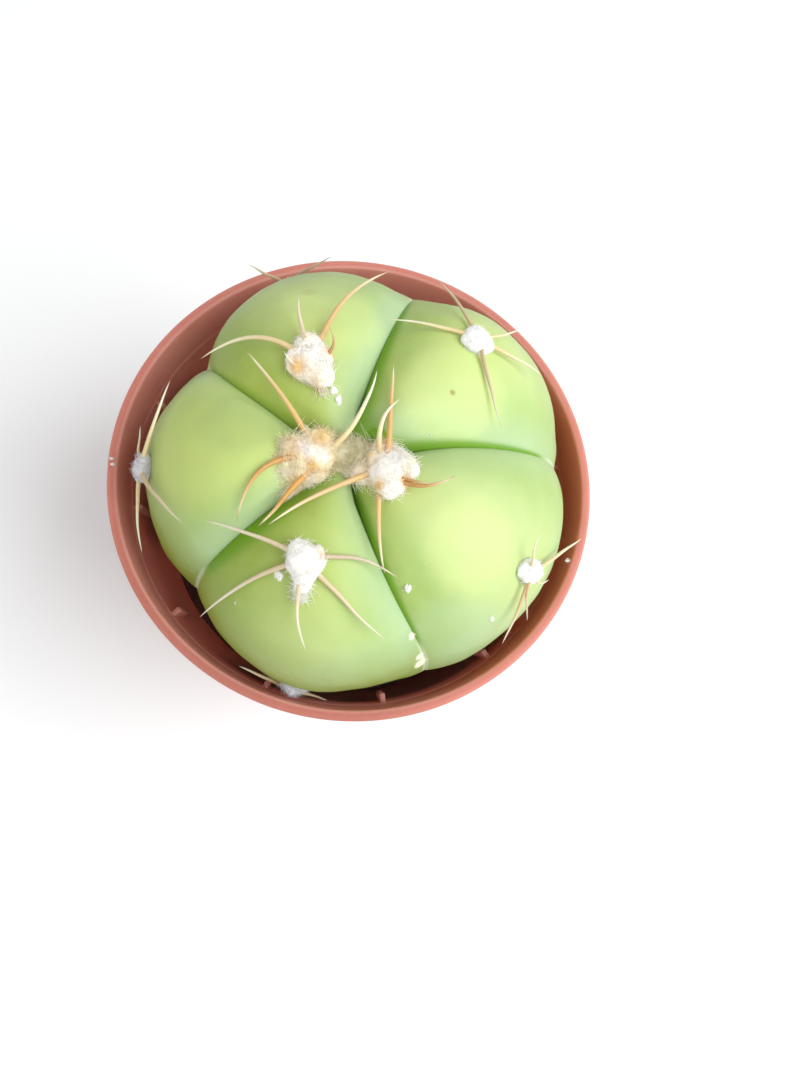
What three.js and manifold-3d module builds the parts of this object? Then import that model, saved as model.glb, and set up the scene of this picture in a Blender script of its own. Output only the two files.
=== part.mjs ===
// A five-ribbed globe cactus in a small round plastic nursery pot.
// Millimetres, +Z up. The origin is the centre of the pot's foot, on the surface it stands on.
import * as THREE from "three";
import { mergeVertices } from "three/addons/utils/BufferGeometryUtils.js";
import Module from "manifold-3d";

const wasm = await Module();
wasm.setup();

const RAD = Math.PI / 180;

// Driving dimensions of the pot. The rest of it is worked out from these.
const POT = {
  height: 48,
  rimRadius: 27.5,
  rimWidth: 1.15,
  collarHeight: 6,
  collarDraft: 0.5,
  bevel: 0.3,
  wall: 0.9,
  footRadius: 19.5,
  footWidth: 2.4,
  footHeight: 1.4,
  floor: 1.2,
  sides: 48,
};
// The inner face of the collar slopes in, and ends in a small ledge.
const LEDGE = { drop: 4.5, draft: 0.7, width: 0.15 };
const FIN = { count: 12, first: 8.1, reach: 1, root: 0.4, thickness: 0.6, drop: 4.7, height: 4 };
const DRAIN = { count: 6, circle: 11.5, radius: 2.1, sides: 12 };

// Clear space left between two pieces that touch on the real object.
const CLEAR = 0.3;

// The potting mix fills the pot to this far below the rim.
const SOIL = {
  drop: 18.5,
  roughness: 0.15,
  waves: [
    [1.9, 0.7],
    [-1.1, 2.3],
  ],
  rings: [0.93, 0.86, 0.78, 0.6],
  sides: 36,
  bowlFrom: 140,
  bowlStep: 6,
};

// The plant: a flattened globe, widest level with the pot's rim.
const PLANT = {
  axis: [0.8, -0.75],
  radius: 23.6,
  rise: 14.8,
  drop: 20,
  crownDip: 3.8,
  crownWidth: 7,
  lean: [-2.8, -1.2],
  fullness: 2.3,
  lowerFullness: 1.6,
  neckFrom: 155,
};
// The neck and tap root under the globe, as [radius, depth below the globe's foot].
const ROOT = [
  [7.5, -1.6],
  [5, 0.3],
  [3.4, 3],
  [1.8, 9.5],
  [0, 12.5],
];
// The furrows: where each one meets the waist, in degrees round the plant's axis, how many
// degrees it has turned by the time it reaches the crown, and how deep it is cut at the waist.
// Swell is how far the rib that follows it stands out, as a share of the radius.
const FURROWS = [
  { at: 4, bend: 4, cut: 1.6, swell: 0.035 },
  { at: 76, bend: 1, cut: 0.4, swell: 0.045 },
  { at: 148, bend: 5, cut: 2.2, swell: 0 },
  { at: 216, bend: 2, cut: 1.7, swell: 0.025 },
  { at: 287.5, bend: -5, cut: 1.35, swell: -0.02 },
];
// How deep the furrows are on the crown, and how sharp their valleys are.
const CREASE = { top: 3.2, sharpness: 0.7, fadeRadius: 5 };
const BODY_MESH = { columnsPerRib: 10, rows: 26 };

// Each areole: its place (degrees round the axis, degrees down from the crown), its wool pad
// (length down the rib, width, height, in millimetres), the radius of a spine at its root, and its
// spines. A spine has the direction of its tip from the areole (degrees turned from "down the
// rib", degrees lifted off the skin), its length, and how far its middle bows sideways and off
// the skin.
const AREOLES = {
  rib1_upper: {
    place: [45.5, 42],
    pad: [3.2, 3.2, 1.7],
    thick: 0.28,
    spines: [
      [123, -12, 9.5, -0.2, 0.4],
      [60, -9, 11, 0, 0.5],
      [-17, 7, 5.5, -0.4, 0.4],
      [-59, -6, 8, 0, 0.3],
      [-116, -18, 10, -0.6, 0.5],
    ],
  },
  rib1_lower: {
    place: [48, 106],
    pad: [2.4, 3.0, 1.1],
    thick: 0.26,
    spines: [
      [140, -6, 4.5, 0, 0.2],
      [-140, -6, 4.5, 0, 0.2],
      [180, -2, 5, 0.2, 0],
    ],
  },
  rib2_upper: {
    place: [116, 18.5],
    pad: [5.4, 4.5, 2.0],
    thick: 0.34,
    spines: [
      [60, -20, 12, -2.0, 1.2],
      [-11, -6, 7.5, 0.4, 0.5],
      [-55, -17, 15.5, 1.3, 1.2],
      [-46, 9, 4, -1.2, 0.2],
      [52, 17, 3, 0.8, 0.1],
    ],
  },
  rib2_lower: {
    place: [112, 88],
    pad: [2.8, 3.2, 1.4],
    thick: 0.26,
    spines: [
      [146, 1, 8, 0, 0.2],
      [-143, -10, 8, 0, 0.3],
      [95, -6, 4, 0, 0.2],
      [-95, -6, 5, 0, 0.2],
    ],
  },
  rib3_upper: {
    place: [193, 5.5],
    pad: [5.6, 5.4, 2.2],
    thick: 0.38,
    spines: [
      [-69, -24, 13, -0.3, 0.6],
      [31, -8, 10, -2.8, 0.8],
      [39, 1, 9, 0, 0.4],
      [-130, 6, 10.5, -0.8, 0.7],
    ],
  },
  rib3_lower: {
    place: [183.5, 72],
    pad: [3.0, 3.2, 2.0],
    thick: 0.28,
    spines: [
      [-110, -14, 9.5, -1.7, 0.5],
      [-81, 0, 5, 0.1, 0.2],
      [61, -5, 9, -1.3, 0.3],
      [133, -14, 11, -0.3, 0.3],
    ],
  },
  rib4_upper: {
    place: [249.5, 27.5],
    pad: [4.6, 3.9, 2.0],
    thick: 0.28,
    spines: [
      [-93, -9, 10.5, -0.4, 0.4],
      [-45, -22, 13, -0.7, 0.8],
      [18, -6, 8.5, -0.8, 0.5],
      [62, -16, 11, -0.2, 0.5],
      [97, -17, 9, 1.0, 0.5],
    ],
  },
  rib4_lower: {
    place: [252.5, 99.5],
    pad: [2.4, 2.8, 1.5],
    thick: 0.26,
    spines: [
      [-112, -11, 6.5, 1.7, 0.3],
      [121, -10, 4.5, -1.2, 0.3],
    ],
  },
  rib5_upper: {
    place: [331.5, 8.5],
    pad: [5.8, 5.6, 2.4],
    thick: 0.34,
    spines: [
      [111, 23, 11, -0.2, 0.4],
      [101, 30, 7, 1.3, 0.4],
      [-117, 9, 13, -0.3, 0.5],
      [-64, -18, 10.5, -0.6, 0.8],
      [15, 2, 7, -1.9, 0.3],
      [-4, 8, 5.5, -0.5, 0.3],
    ],
  },
  rib5_lower: {
    place: [325.5, 59.5],
    pad: [3.0, 2.4, 1.6],
    thick: 0.26,
    spines: [
      [134, 11, 4.5, 0.8, 0.2],
      [50, -5, 9.5, 0.2, 0.3],
      [12, 34, 2, -0.8, 0],
      [-60, 7, 5, -0.7, 0.2],
      [-72, -5, 8, -0.4, 0.4],
    ],
  },
};
const SPINE = {
  sides: 4,
  rings: 5,
  taper: 0.6,
  spare: 0.15,
  hubRadius: 1.0,
  hubHeight: 0.4,
  cutLength: 3.6,
  cutRings: 2,
};
const WOOL = {
  detail: 2,
  sink: 0.35,
  lump: 0.1,
  waves: [
    [5.1, 3.7, 0],
    [0, -5.9, 4.3],
  ],
};
// The tangled tuft on the growing point: its pad joins those of the two youngest areoles.
const CROWN = { parts: ["rib3_upper", "rib5_upper"], pad: [4.2, 6.6, 1.6] };

const MATERIALS = {
  pot: { color: 0xc9705c, roughness: 0.5, metalness: 0 },
  soil: { color: 0x2b211b, roughness: 1, metalness: 0 },
  skin: { color: 0xa9cf6e, roughness: 0.45, metalness: 0 },
  wool: { color: 0xeee6da, roughness: 1, metalness: 0 },
  spine: { color: 0xd2a56a, roughness: 0.6, metalness: 0 },
};

// The same geometry with one vertex at each place.
function welded(geometry) {
  const plain = geometry.clone();
  plain.deleteAttribute("normal");
  plain.deleteAttribute("uv");
  return mergeVertices(plain, 1e-4);
}

// A closed geometry as a solid that can be joined and cut. Faces that point inwards are turned.
function toSolid(geometry) {
  const merged = welded(geometry);
  const triVerts = new Uint32Array(merged.index.array);
  const build = () =>
    new wasm.Manifold(
      new wasm.Mesh({ numProp: 3, vertProperties: merged.attributes.position.array, triVerts }),
    );
  let solid = build();
  if (solid.volume() < 0) {
    for (let i = 0; i < triVerts.length; i += 3) {
      [triVerts[i + 1], triVerts[i + 2]] = [triVerts[i + 2], triVerts[i + 1]];
    }
    solid = build();
  }
  return solid;
}

function toGeometry(solid) {
  const mesh = solid.getMesh();
  const positions = new Float32Array(mesh.numVert * 3);
  for (let i = 0; i < mesh.numVert; i += 1) {
    const start = i * mesh.numProp;
    positions.set(mesh.vertProperties.subarray(start, start + 3), i * 3);
  }
  const geometry = new THREE.BufferGeometry();
  geometry.setAttribute("position", new THREE.BufferAttribute(positions, 3));
  geometry.setIndex(new THREE.BufferAttribute(mesh.triVerts, 1));
  geometry.computeVertexNormals();
  return geometry;
}

function joinAll(solids) {
  return solids.reduce((whole, next) => whole.add(next));
}

// The largest body of a solid, without the crumbs that a cut can leave.
function mainBody(solid) {
  return solid.decompose().reduce((best, next) => (next.volume() > best.volume() ? next : best));
}

// A profile of [radius, height] points turned round the Z axis.
function turned(points, sides) {
  const profile = points.map(([radius, height]) => new THREE.Vector2(radius, height));
  return new THREE.LatheGeometry(profile, sides).rotateX(Math.PI / 2);
}

// The pot's inner face, as the radius at a height.
function wallRadius(height) {
  const ledge = POT.height - LEDGE.drop;
  const draft = (LEDGE.draft * (POT.height - Math.max(height, ledge))) / LEDGE.drop;
  const collar = POT.rimRadius - POT.rimWidth - draft;
  if (height >= ledge) return collar;
  const foot = POT.footRadius - POT.wall;
  return foot + (collar - LEDGE.width - foot) * (height / ledge);
}

function makePot() {
  const { height, rimRadius, collarHeight, footRadius, footWidth, footHeight, bevel } = POT;
  const ledge = height - LEDGE.drop;
  const collarFoot = height - collarHeight;
  const floorTop = footHeight + POT.floor;
  const shell = toSolid(
    turned(
      [
        [0, footHeight],
        [footRadius - footWidth, footHeight],
        [footRadius - footWidth + bevel, 0],
        [footRadius - bevel, 0],
        [footRadius, bevel],
        [wallRadius(collarFoot) + POT.wall, collarFoot],
        [rimRadius - POT.collarDraft, collarFoot],
        [rimRadius, height - bevel],
        [rimRadius - bevel, height],
        [rimRadius - POT.rimWidth, height],
        [wallRadius(ledge), ledge],
        [wallRadius(ledge - bevel), ledge - bevel],
        [wallRadius(floorTop), floorTop],
        [0, floorTop],
      ],
      POT.sides,
    ),
  );
  const fins = [];
  const finMiddle = height - FIN.drop - FIN.height / 2;
  const lean = Math.atan(wallRadius(finMiddle) - wallRadius(finMiddle - 1));
  for (let i = 0; i < FIN.count; i += 1) {
    const fin = new THREE.BoxGeometry(FIN.reach + FIN.root, FIN.thickness, FIN.height);
    fin.rotateY(lean);
    fin.translate(wallRadius(finMiddle) - (FIN.reach - FIN.root) / 2, 0, finMiddle);
    fins.push(toSolid(fin.rotateZ((FIN.first + (360 / FIN.count) * i) * RAD)));
  }
  const holes = [];
  for (let i = 0; i <= DRAIN.count; i += 1) {
    const hole = new THREE.CylinderGeometry(DRAIN.radius, DRAIN.radius, 2 * POT.floor, DRAIN.sides);
    hole.rotateX(Math.PI / 2);
    const out = i < DRAIN.count ? DRAIN.circle : 0;
    const angle = (360 / DRAIN.count) * i * RAD;
    hole.translate(out * Math.cos(angle), out * Math.sin(angle), footHeight + POT.floor / 2);
    holes.push(toSolid(hole));
  }
  return shell.add(joinAll(fins)).subtract(joinAll(holes));
}

// The furrow that starts each rib and the one that ends it, in radians. The share says how far
// in from the waist towards the crown the place is.
function ribEdges(rib, inner) {
  const angle = ({ at, bend }) => (at + bend * inner) * RAD;
  const last = rib + 1 === FURROWS.length;
  const end = angle(FURROWS[last ? 0 : rib + 1]) + (last ? 2 * Math.PI : 0);
  return [angle(FURROWS[rib]), end];
}

// How far in from the waist a polar angle is: 0 at the waist and below, 1 at the crown.
function innerShare(polar) {
  return Math.cos(polar) > 0 ? 1 - Math.sin(polar) ** (4 / PLANT.fullness) : 0;
}

// A point of the plant's skin. The azimuth runs round the plant's axis, the polar angle runs down
// from the crown, and grow moves the skin outwards.
function skinPoint(azimuth, polar, grow = 0) {
  const inner = innerShare(polar);
  const [first] = ribEdges(0, inner);
  const turn = THREE.MathUtils.euclideanModulo(azimuth - first, 2 * Math.PI) + first;
  const rib = Math.max(0, FURROWS.findLastIndex((_, i) => turn >= ribEdges(i, inner)[0]));
  const [start, end] = ribEdges(rib, inner);
  const across = (turn - start) / (end - start);
  const crest = Math.max(0, Math.sin(Math.PI * across));
  const upper = Math.cos(polar) > 0;
  const power = upper ? PLANT.fullness : PLANT.lowerFullness;
  const half = upper ? PLANT.rise : PLANT.drop;
  const widest = PLANT.radius * (1 + FURROWS[rib].swell * crest ** 2);
  const cosine = Math.abs(Math.cos(polar));
  const radius = widest * Math.abs(Math.sin(polar)) ** (2 / power);
  const height = (upper ? 1 : -1) * half * cosine ** (2 / power);
  const slope = new THREE.Vector2(
    (radius / widest) ** (power - 1) / widest,
    (upper ? 1 : -1) * ((Math.abs(height) / half) ** (power - 1) / half),
  ).normalize();
  const nextCut = FURROWS[(rib + 1) % FURROWS.length].cut;
  const cut = THREE.MathUtils.lerp(FURROWS[rib].cut, nextCut, across);
  const deeper = upper ? (CREASE.top - cut) * cosine ** CREASE.sharpness : 0;
  const fade = Math.min(1, radius / CREASE.fadeRadius);
  const inward = (cut + deeper) * fade * (1 - crest ** CREASE.sharpness) - grow;
  const dip = upper ? PLANT.crownDip * Math.exp(-((radius / PLANT.crownWidth) ** 2)) : 0;
  const out = radius - slope.x * inward;
  return new THREE.Vector3(
    PLANT.axis[0] + PLANT.lean[0] * inner + out * Math.cos(azimuth),
    PLANT.axis[1] + PLANT.lean[1] * inner + out * Math.sin(azimuth),
    POT.height + height - slope.y * inward - dip,
  );
}

// The outward direction of the skin at a place.
function skinNormal(azimuth, polar) {
  const step = 1e-3;
  const round = skinPoint(azimuth + step, polar).sub(skinPoint(azimuth - step, polar));
  const down = skinPoint(azimuth, polar + step).sub(skinPoint(azimuth, polar - step));
  return down.cross(round).normalize();
}

// Columns crowd together at the furrows, where the skin turns fastest.
function columnAzimuth(share, inner) {
  const position = share * FURROWS.length;
  const rib = Math.min(FURROWS.length - 1, Math.floor(position + 1e-6));
  const [start, end] = ribEdges(rib, inner);
  const eased = (1 - Math.cos(Math.PI * (position - rib))) / 2;
  return start + (end - start) * eased;
}

// The globe is a sphere whose points are moved onto the skin. Its last rows make the tap root.
function plantGeometry(grow = 0) {
  const columns = BODY_MESH.columnsPerRib * FURROWS.length;
  const rows = BODY_MESH.rows + ROOT.length;
  const lastPolar = PLANT.neckFrom * RAD;
  const geometry = new THREE.SphereGeometry(1, columns, rows);
  const { position, uv } = geometry.attributes;
  for (let i = 0; i < position.count; i += 1) {
    const row = Math.round((1 - uv.getY(i)) * rows);
    const polar = (lastPolar * Math.min(row, BODY_MESH.rows)) / BODY_MESH.rows;
    const around = THREE.MathUtils.clamp(uv.getX(i), 0, 1);
    const azimuth = row === 0 ? 0 : columnAzimuth(around, innerShare(polar));
    let point;
    if (row <= BODY_MESH.rows) {
      point = skinPoint(azimuth, polar, grow);
    } else {
      const [radius, depth] = ROOT[row - BODY_MESH.rows - 1];
      const wide = radius > 0 ? radius + grow : 0;
      point = new THREE.Vector3(
        PLANT.axis[0] + wide * Math.cos(azimuth),
        PLANT.axis[1] + wide * Math.sin(azimuth),
        POT.height - PLANT.drop - depth - grow,
      );
    }
    position.setXYZ(i, point.x, point.y, point.z);
  }
  return geometry;
}

// Soil: a plug that fills the pot, rough on top, with a plain hole where the plant stands.
function makeSoil() {
  const bottom = POT.footHeight + POT.floor + CLEAR;
  const top = POT.height - SOIL.drop;
  const edge = wallRadius(top) - CLEAR;
  const plug = turned(
    [
      [0, bottom],
      [wallRadius(bottom) - CLEAR, bottom],
      [edge, top],
      ...SOIL.rings.map((share) => [edge * share, top]),
      [0, top],
    ],
    SOIL.sides,
  );
  const { position } = plug.attributes;
  for (let i = 0; i < position.count; i += 1) {
    if (position.getZ(i) < top - CLEAR) continue;
    const place = new THREE.Vector2(position.getX(i), position.getY(i));
    const waves = SOIL.waves.map(([x, y]) => Math.sin(place.x * x + place.y * y));
    position.setZ(i, top + SOIL.roughness * (waves[0] + waves[1]));
  }
  const mostSwell = Math.max(...FURROWS.map(({ swell }) => swell));
  const bowl = [];
  for (let polar = SOIL.bowlFrom; polar < PLANT.neckFrom; polar += SOIL.bowlStep) {
    const out = PLANT.radius * (1 + mostSwell) * Math.sin(polar * RAD) ** (2 / PLANT.lowerFullness);
    const depth = PLANT.drop * (-Math.cos(polar * RAD)) ** (2 / PLANT.lowerFullness);
    bowl.push([out + CLEAR, POT.height - depth - CLEAR]);
  }
  const root = ROOT.map(([radius, depth]) => [
    radius > 0 ? radius + 2 * CLEAR : 0,
    POT.height - PLANT.drop - depth - 2 * CLEAR,
  ]);
  const outline = [...bowl, ...root];
  const hole = turned([...outline.reverse(), [0, outline.at(-1)[1]]], SOIL.sides);
  hole.translate(PLANT.axis[0], PLANT.axis[1], 0);
  return toSolid(plug).subtract(toSolid(hole));
}

// The local directions of an areole: off the skin, down the rib and sideways.
function areoleFrame({ place, thick }) {
  const [azimuth, polar] = place.map((degrees) => degrees * RAD);
  const point = skinPoint(azimuth, polar);
  const off = skinNormal(azimuth, polar);
  const crown = skinPoint(0, 0);
  const away = place[1] > 60 ? new THREE.Vector3(0, 0, -1) : point.clone().sub(crown);
  const down = away.addScaledVector(off, -away.dot(off)).normalize();
  const side = off.clone().cross(down);
  return { point, off, down, side, thick };
}

// Sample points of the skin, used to keep the spines and the wool clear of it.
const SAMPLES = { first: 2, last: 125, step: 3 };
const skinSamples = [];
for (let polar = SAMPLES.first; polar < SAMPLES.last; polar += SAMPLES.step) {
  for (let azimuth = 0; azimuth < 360; azimuth += SAMPLES.step) {
    skinSamples.push({
      point: skinPoint(azimuth * RAD, polar * RAD),
      off: skinNormal(azimuth * RAD, polar * RAD),
    });
  }
}

// Moves a point out of the skin, until it has the room asked for.
function clearOfPlant(point, room) {
  let nearest = skinSamples[0];
  let least = Infinity;
  for (const sample of skinSamples) {
    const distance = sample.point.distanceToSquared(point);
    if (distance < least) {
      least = distance;
      nearest = sample;
    }
  }
  const height = point.clone().sub(nearest.point).dot(nearest.off);
  if (height < room) point.addScaledVector(nearest.off, room - height);
  return point;
}

// Moves a point away from the inside of the pot, until it has the room asked for.
function clearOfPot(point, room) {
  if (point.z < POT.height + room) {
    const reach = wallRadius(Math.min(point.z, POT.height)) - room;
    const now = Math.hypot(point.x, point.y);
    const kept = Math.min(1, reach / now);
    point.set(point.x * kept, point.y * kept, point.z);
  }
  return point;
}

// The curve that one spine follows, from the areole to its tip.
function spineCurve({ point, off, down, side, thick }, [turn, lift, length, bowSide, bowOff]) {
  const root = point.clone().addScaledVector(off, CLEAR + SPINE.hubHeight);
  const along = down
    .clone()
    .multiplyScalar(Math.cos(turn * RAD))
    .addScaledVector(side, Math.sin(turn * RAD));
  const across = off.clone().cross(along);
  const tip = root.clone().addScaledVector(along, Math.cos(lift * RAD) * length);
  tip.addScaledVector(off, Math.sin(lift * RAD) * length);
  const middle = root.clone().lerp(tip, 0.5);
  middle.addScaledVector(across, bowSide * 2).addScaledVector(off, bowOff * 2);
  const bezier = new THREE.QuadraticBezierCurve3(root, middle, tip);
  const stops = bezier.getPoints(SPINE.rings);
  const room = thick + CLEAR + SPINE.spare;
  stops.slice(1).forEach((stop) => clearOfPot(clearOfPlant(stop, room), room));
  return new THREE.CatmullRomCurve3(stops);
}

// One spine: a cone bent along its curve. A cutter is the same cone a little wider, and only as
// long as the wool that it passes through.
function spineSolid(frame, spine, cutter) {
  const curve = spineCurve(frame, spine);
  const reach = cutter ? Math.min(1, SPINE.cutLength / spine[2]) : 1;
  const grow = cutter ? CLEAR : 0;
  const rings = cutter ? SPINE.cutRings : SPINE.rings;
  const cone = new THREE.CylinderGeometry(cutter ? 1 : 0, 1, 1, SPINE.sides, rings);
  const { position } = cone.attributes;
  for (let i = 0; i < position.count; i += 1) {
    const share = (position.getY(i) + 0.5) * reach;
    const ring = new THREE.Vector2(position.getX(i), position.getZ(i));
    if (ring.length() > 1e-6) {
      ring.setLength(frame.thick * (1 - share) ** SPINE.taper + grow);
    }
    const centre = curve.getPoint(share);
    const tangent = curve.getTangent(share);
    const first = frame.off.clone().cross(tangent).normalize();
    const second = tangent.clone().cross(first);
    centre.addScaledVector(first, ring.x).addScaledVector(second, ring.y);
    position.setXYZ(i, centre.x, centre.y, centre.z);
  }
  return toSolid(cone);
}

// The corky cushion that the spines of one areole grow from.
function hubSolid({ point, off }, cutter) {
  const grow = cutter ? CLEAR : 0;
  const hub = new THREE.SphereGeometry(1, 6, 4);
  hub.rotateX(Math.PI / 2);
  hub.scale(SPINE.hubRadius + grow, SPINE.hubRadius + grow, SPINE.hubHeight + grow);
  const turn = new THREE.Quaternion().setFromUnitVectors(new THREE.Vector3(0, 0, 1), off);
  const centre = point.clone().addScaledVector(off, CLEAR + SPINE.hubHeight);
  hub.applyQuaternion(turn).translate(centre.x, centre.y, centre.z);
  return toSolid(hub);
}

function sprayOfSpines(areole, cutter = false) {
  const frame = areoleFrame(areole);
  const spines = areole.spines.map((spine) => spineSolid(frame, spine, cutter));
  return joinAll([hubSolid(frame, cutter), ...spines]);
}

// A lumpy pad of wool before it is cut round the spines. A seated pad has its underside moved
// onto the skin, and an unseated one is left to be cut by it.
function rawPad(frame, [length, width, height], seed, seated) {
  const { point, off, down, side } = frame;
  const pad = welded(new THREE.IcosahedronGeometry(1, WOOL.detail));
  const { position } = pad.attributes;
  const centre = point.clone().addScaledVector(off, WOOL.sink * height);
  const vertex = new THREE.Vector3();
  for (let i = 0; i < position.count; i += 1) {
    vertex.fromBufferAttribute(position, i);
    const waves = WOOL.waves.map((wave, which) => {
      const phase = vertex.dot(new THREE.Vector3(...wave)) + seed * (which + 1);
      return Math.sin(phase);
    });
    const lump = 1 + WOOL.lump * (waves[0] + waves[1]);
    const placed = centre.clone();
    placed.addScaledVector(down, (vertex.x * lump * length) / 2);
    placed.addScaledVector(side, (vertex.y * lump * width) / 2);
    placed.addScaledVector(off, vertex.z * lump * height * (1 - WOOL.sink));
    if (seated) clearOfPlant(placed, CLEAR);
    clearOfPot(placed, CLEAR);
    position.setXYZ(i, placed.x, placed.y, placed.z);
  }
  return toSolid(pad);
}

function mesh(name, solid, slot) {
  const made = new THREE.Mesh(toGeometry(solid), new THREE.MeshStandardMaterial(MATERIALS[slot]));
  made.name = name;
  return made;
}

const potted = new THREE.Group();
potted.add(mesh("pot", makePot(), "pot"));
potted.add(mesh("soil", makeSoil(), "soil"));

const plant = new THREE.Group();
plant.add(mesh("cactus_body", toSolid(plantGeometry()), "skin"));
const clearOfSkin = toSolid(plantGeometry(CLEAR));

Object.entries(AREOLES).forEach(([name, areole], index) => {
  plant.add(mesh("spines_" + name, sprayOfSpines(areole), "spine"));
  if (CROWN.parts.includes(name)) return;
  const pad = rawPad(areoleFrame(areole), areole.pad, index, true);
  const cut = pad.subtract(sprayOfSpines(areole, true));
  plant.add(mesh("wool_" + name, mainBody(cut), "wool"));
});

// The wool of the crown is one tuft: the growing point's pad and those of two young areoles.
const crownPoint = skinPoint(0, 0);
const crownFrame = {
  point: crownPoint,
  off: new THREE.Vector3(0, 0, 1),
  down: new THREE.Vector3(0, 1, 0),
  side: new THREE.Vector3(-1, 0, 0),
};
let crown = rawPad(crownFrame, CROWN.pad, 1, false);
CROWN.parts.forEach((name, index) => {
  crown = crown.add(rawPad(areoleFrame(AREOLES[name]), AREOLES[name].pad, index + 3, false));
});
crown = crown.subtract(clearOfSkin);
CROWN.parts.forEach((name) => {
  crown = crown.subtract(sprayOfSpines(AREOLES[name], true));
});
plant.add(mesh("wool_crown", mainBody(crown), "wool"));
potted.add(plant);

export default potted;
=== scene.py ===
# %% [markdown]
# # A ribbed globe cactus in a small nursery pot
# The part is a squat cactus with five plump ribs, woolly areoles with long spines, and a
# terracotta-coloured plastic pot filled with peaty soil. The solid model is already packed. This
# lesson loads it as a fixed frame and builds the finer skin, spines, wool, pot and soil round it.

# %% Load the solid model
import math

import bmesh
import bpy
import numpy as np
from mathutils import Matrix


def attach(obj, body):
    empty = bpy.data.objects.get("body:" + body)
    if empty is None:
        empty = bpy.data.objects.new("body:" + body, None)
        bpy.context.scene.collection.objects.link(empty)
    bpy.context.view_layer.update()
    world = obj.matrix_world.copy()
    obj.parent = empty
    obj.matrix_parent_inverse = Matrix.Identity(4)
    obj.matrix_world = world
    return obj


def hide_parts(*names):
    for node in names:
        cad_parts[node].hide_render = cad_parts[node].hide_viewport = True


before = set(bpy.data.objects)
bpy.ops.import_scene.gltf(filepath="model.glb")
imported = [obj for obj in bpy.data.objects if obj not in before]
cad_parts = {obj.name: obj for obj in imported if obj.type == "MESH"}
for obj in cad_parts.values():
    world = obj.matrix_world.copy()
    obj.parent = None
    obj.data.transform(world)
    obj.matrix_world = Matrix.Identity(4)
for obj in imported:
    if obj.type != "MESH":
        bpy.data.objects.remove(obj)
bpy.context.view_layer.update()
MM = 0.001
print("nodes in the frame:", len(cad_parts))

# %% [markdown]
# ## The camera first
# The photo looks down on the pot from above and a little in front, from close by, so the rim is an
# ellipse with a strong perspective. The camera's place and its three directions were worked out
# from that ellipse and the plant's outline. The render is taller than wide, so the 36 mm sensor
# width counts along the tall side.

# %% The camera
RIM_HEIGHT = 48.0
CAMERA_PLACE = (-6.277, -30.339, 135.973)
CAMERA_RIGHT = (0.99206, 0.0, 0.12573)
CAMERA_UP = (-0.03215, 0.96676, 0.25366)
CAMERA_BACK = (-0.12155, -0.25569, 0.95909)
LENS_MM = 27.62
SENSOR_MM = 36.0
camera_data = bpy.data.cameras.new("photo_camera")
camera_data.sensor_width = SENSOR_MM
camera_data.lens = LENS_MM
camera_data.clip_start = 0.004
camera_data.clip_end = 20.0
camera = bpy.data.objects.new("photo_camera", camera_data)
facing = Matrix((CAMERA_RIGHT, CAMERA_UP, CAMERA_BACK)).transposed().to_4x4()
camera.matrix_world = Matrix.Translation([length * MM for length in CAMERA_PLACE]) @ facing
bpy.context.collection.objects.link(camera)
bpy.context.scene.camera = camera
print("camera stands", round(CAMERA_PLACE[2] - RIM_HEIGHT), "mm over the rim")

# %% [markdown]
# ## Writing finishes as sums
# A finish is a tree of nodes. Wiring each Math node by hand hides the idea, so a small class wraps
# a socket and lets Python's own operators add the Math nodes. `1 - mask` then means what it says.

# %% A number that varies over a surface
class Reading:
    """A number that varies over a surface: one output socket of a finish's nodes."""

    def __init__(self, finish, socket):
        self.finish = finish
        self.socket = socket

    def sum(self, operation, first, second):
        return self.finish.node("ShaderNodeMath", {"operation": operation}, {0: first, 1: second})

    def __add__(self, other):
        return self.sum("ADD", self, other)

    def __sub__(self, other):
        return self.sum("SUBTRACT", self, other)

    def __rsub__(self, other):
        return self.sum("SUBTRACT", other, self)

    def __mul__(self, other):
        return self.sum("MULTIPLY", self, other)

    __radd__ = __add__
    __rmul__ = __mul__


print("readings can be added, subtracted and multiplied")

# %% A finish and its nodes
SOFT_FROM = 0.55  # a single place is at full strength for this share of its reach


def paint(red, green, blue):
    """A colour as it looks on a screen, 0 to 255, as the shader's linear light."""
    parts = [channel / 255 for channel in (red, green, blue)]
    linear = [p / 12.92 if p <= 0.04045 else ((p + 0.055) / 1.055) ** 2.4 for p in parts]
    return (*linear, 1.0)


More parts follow.
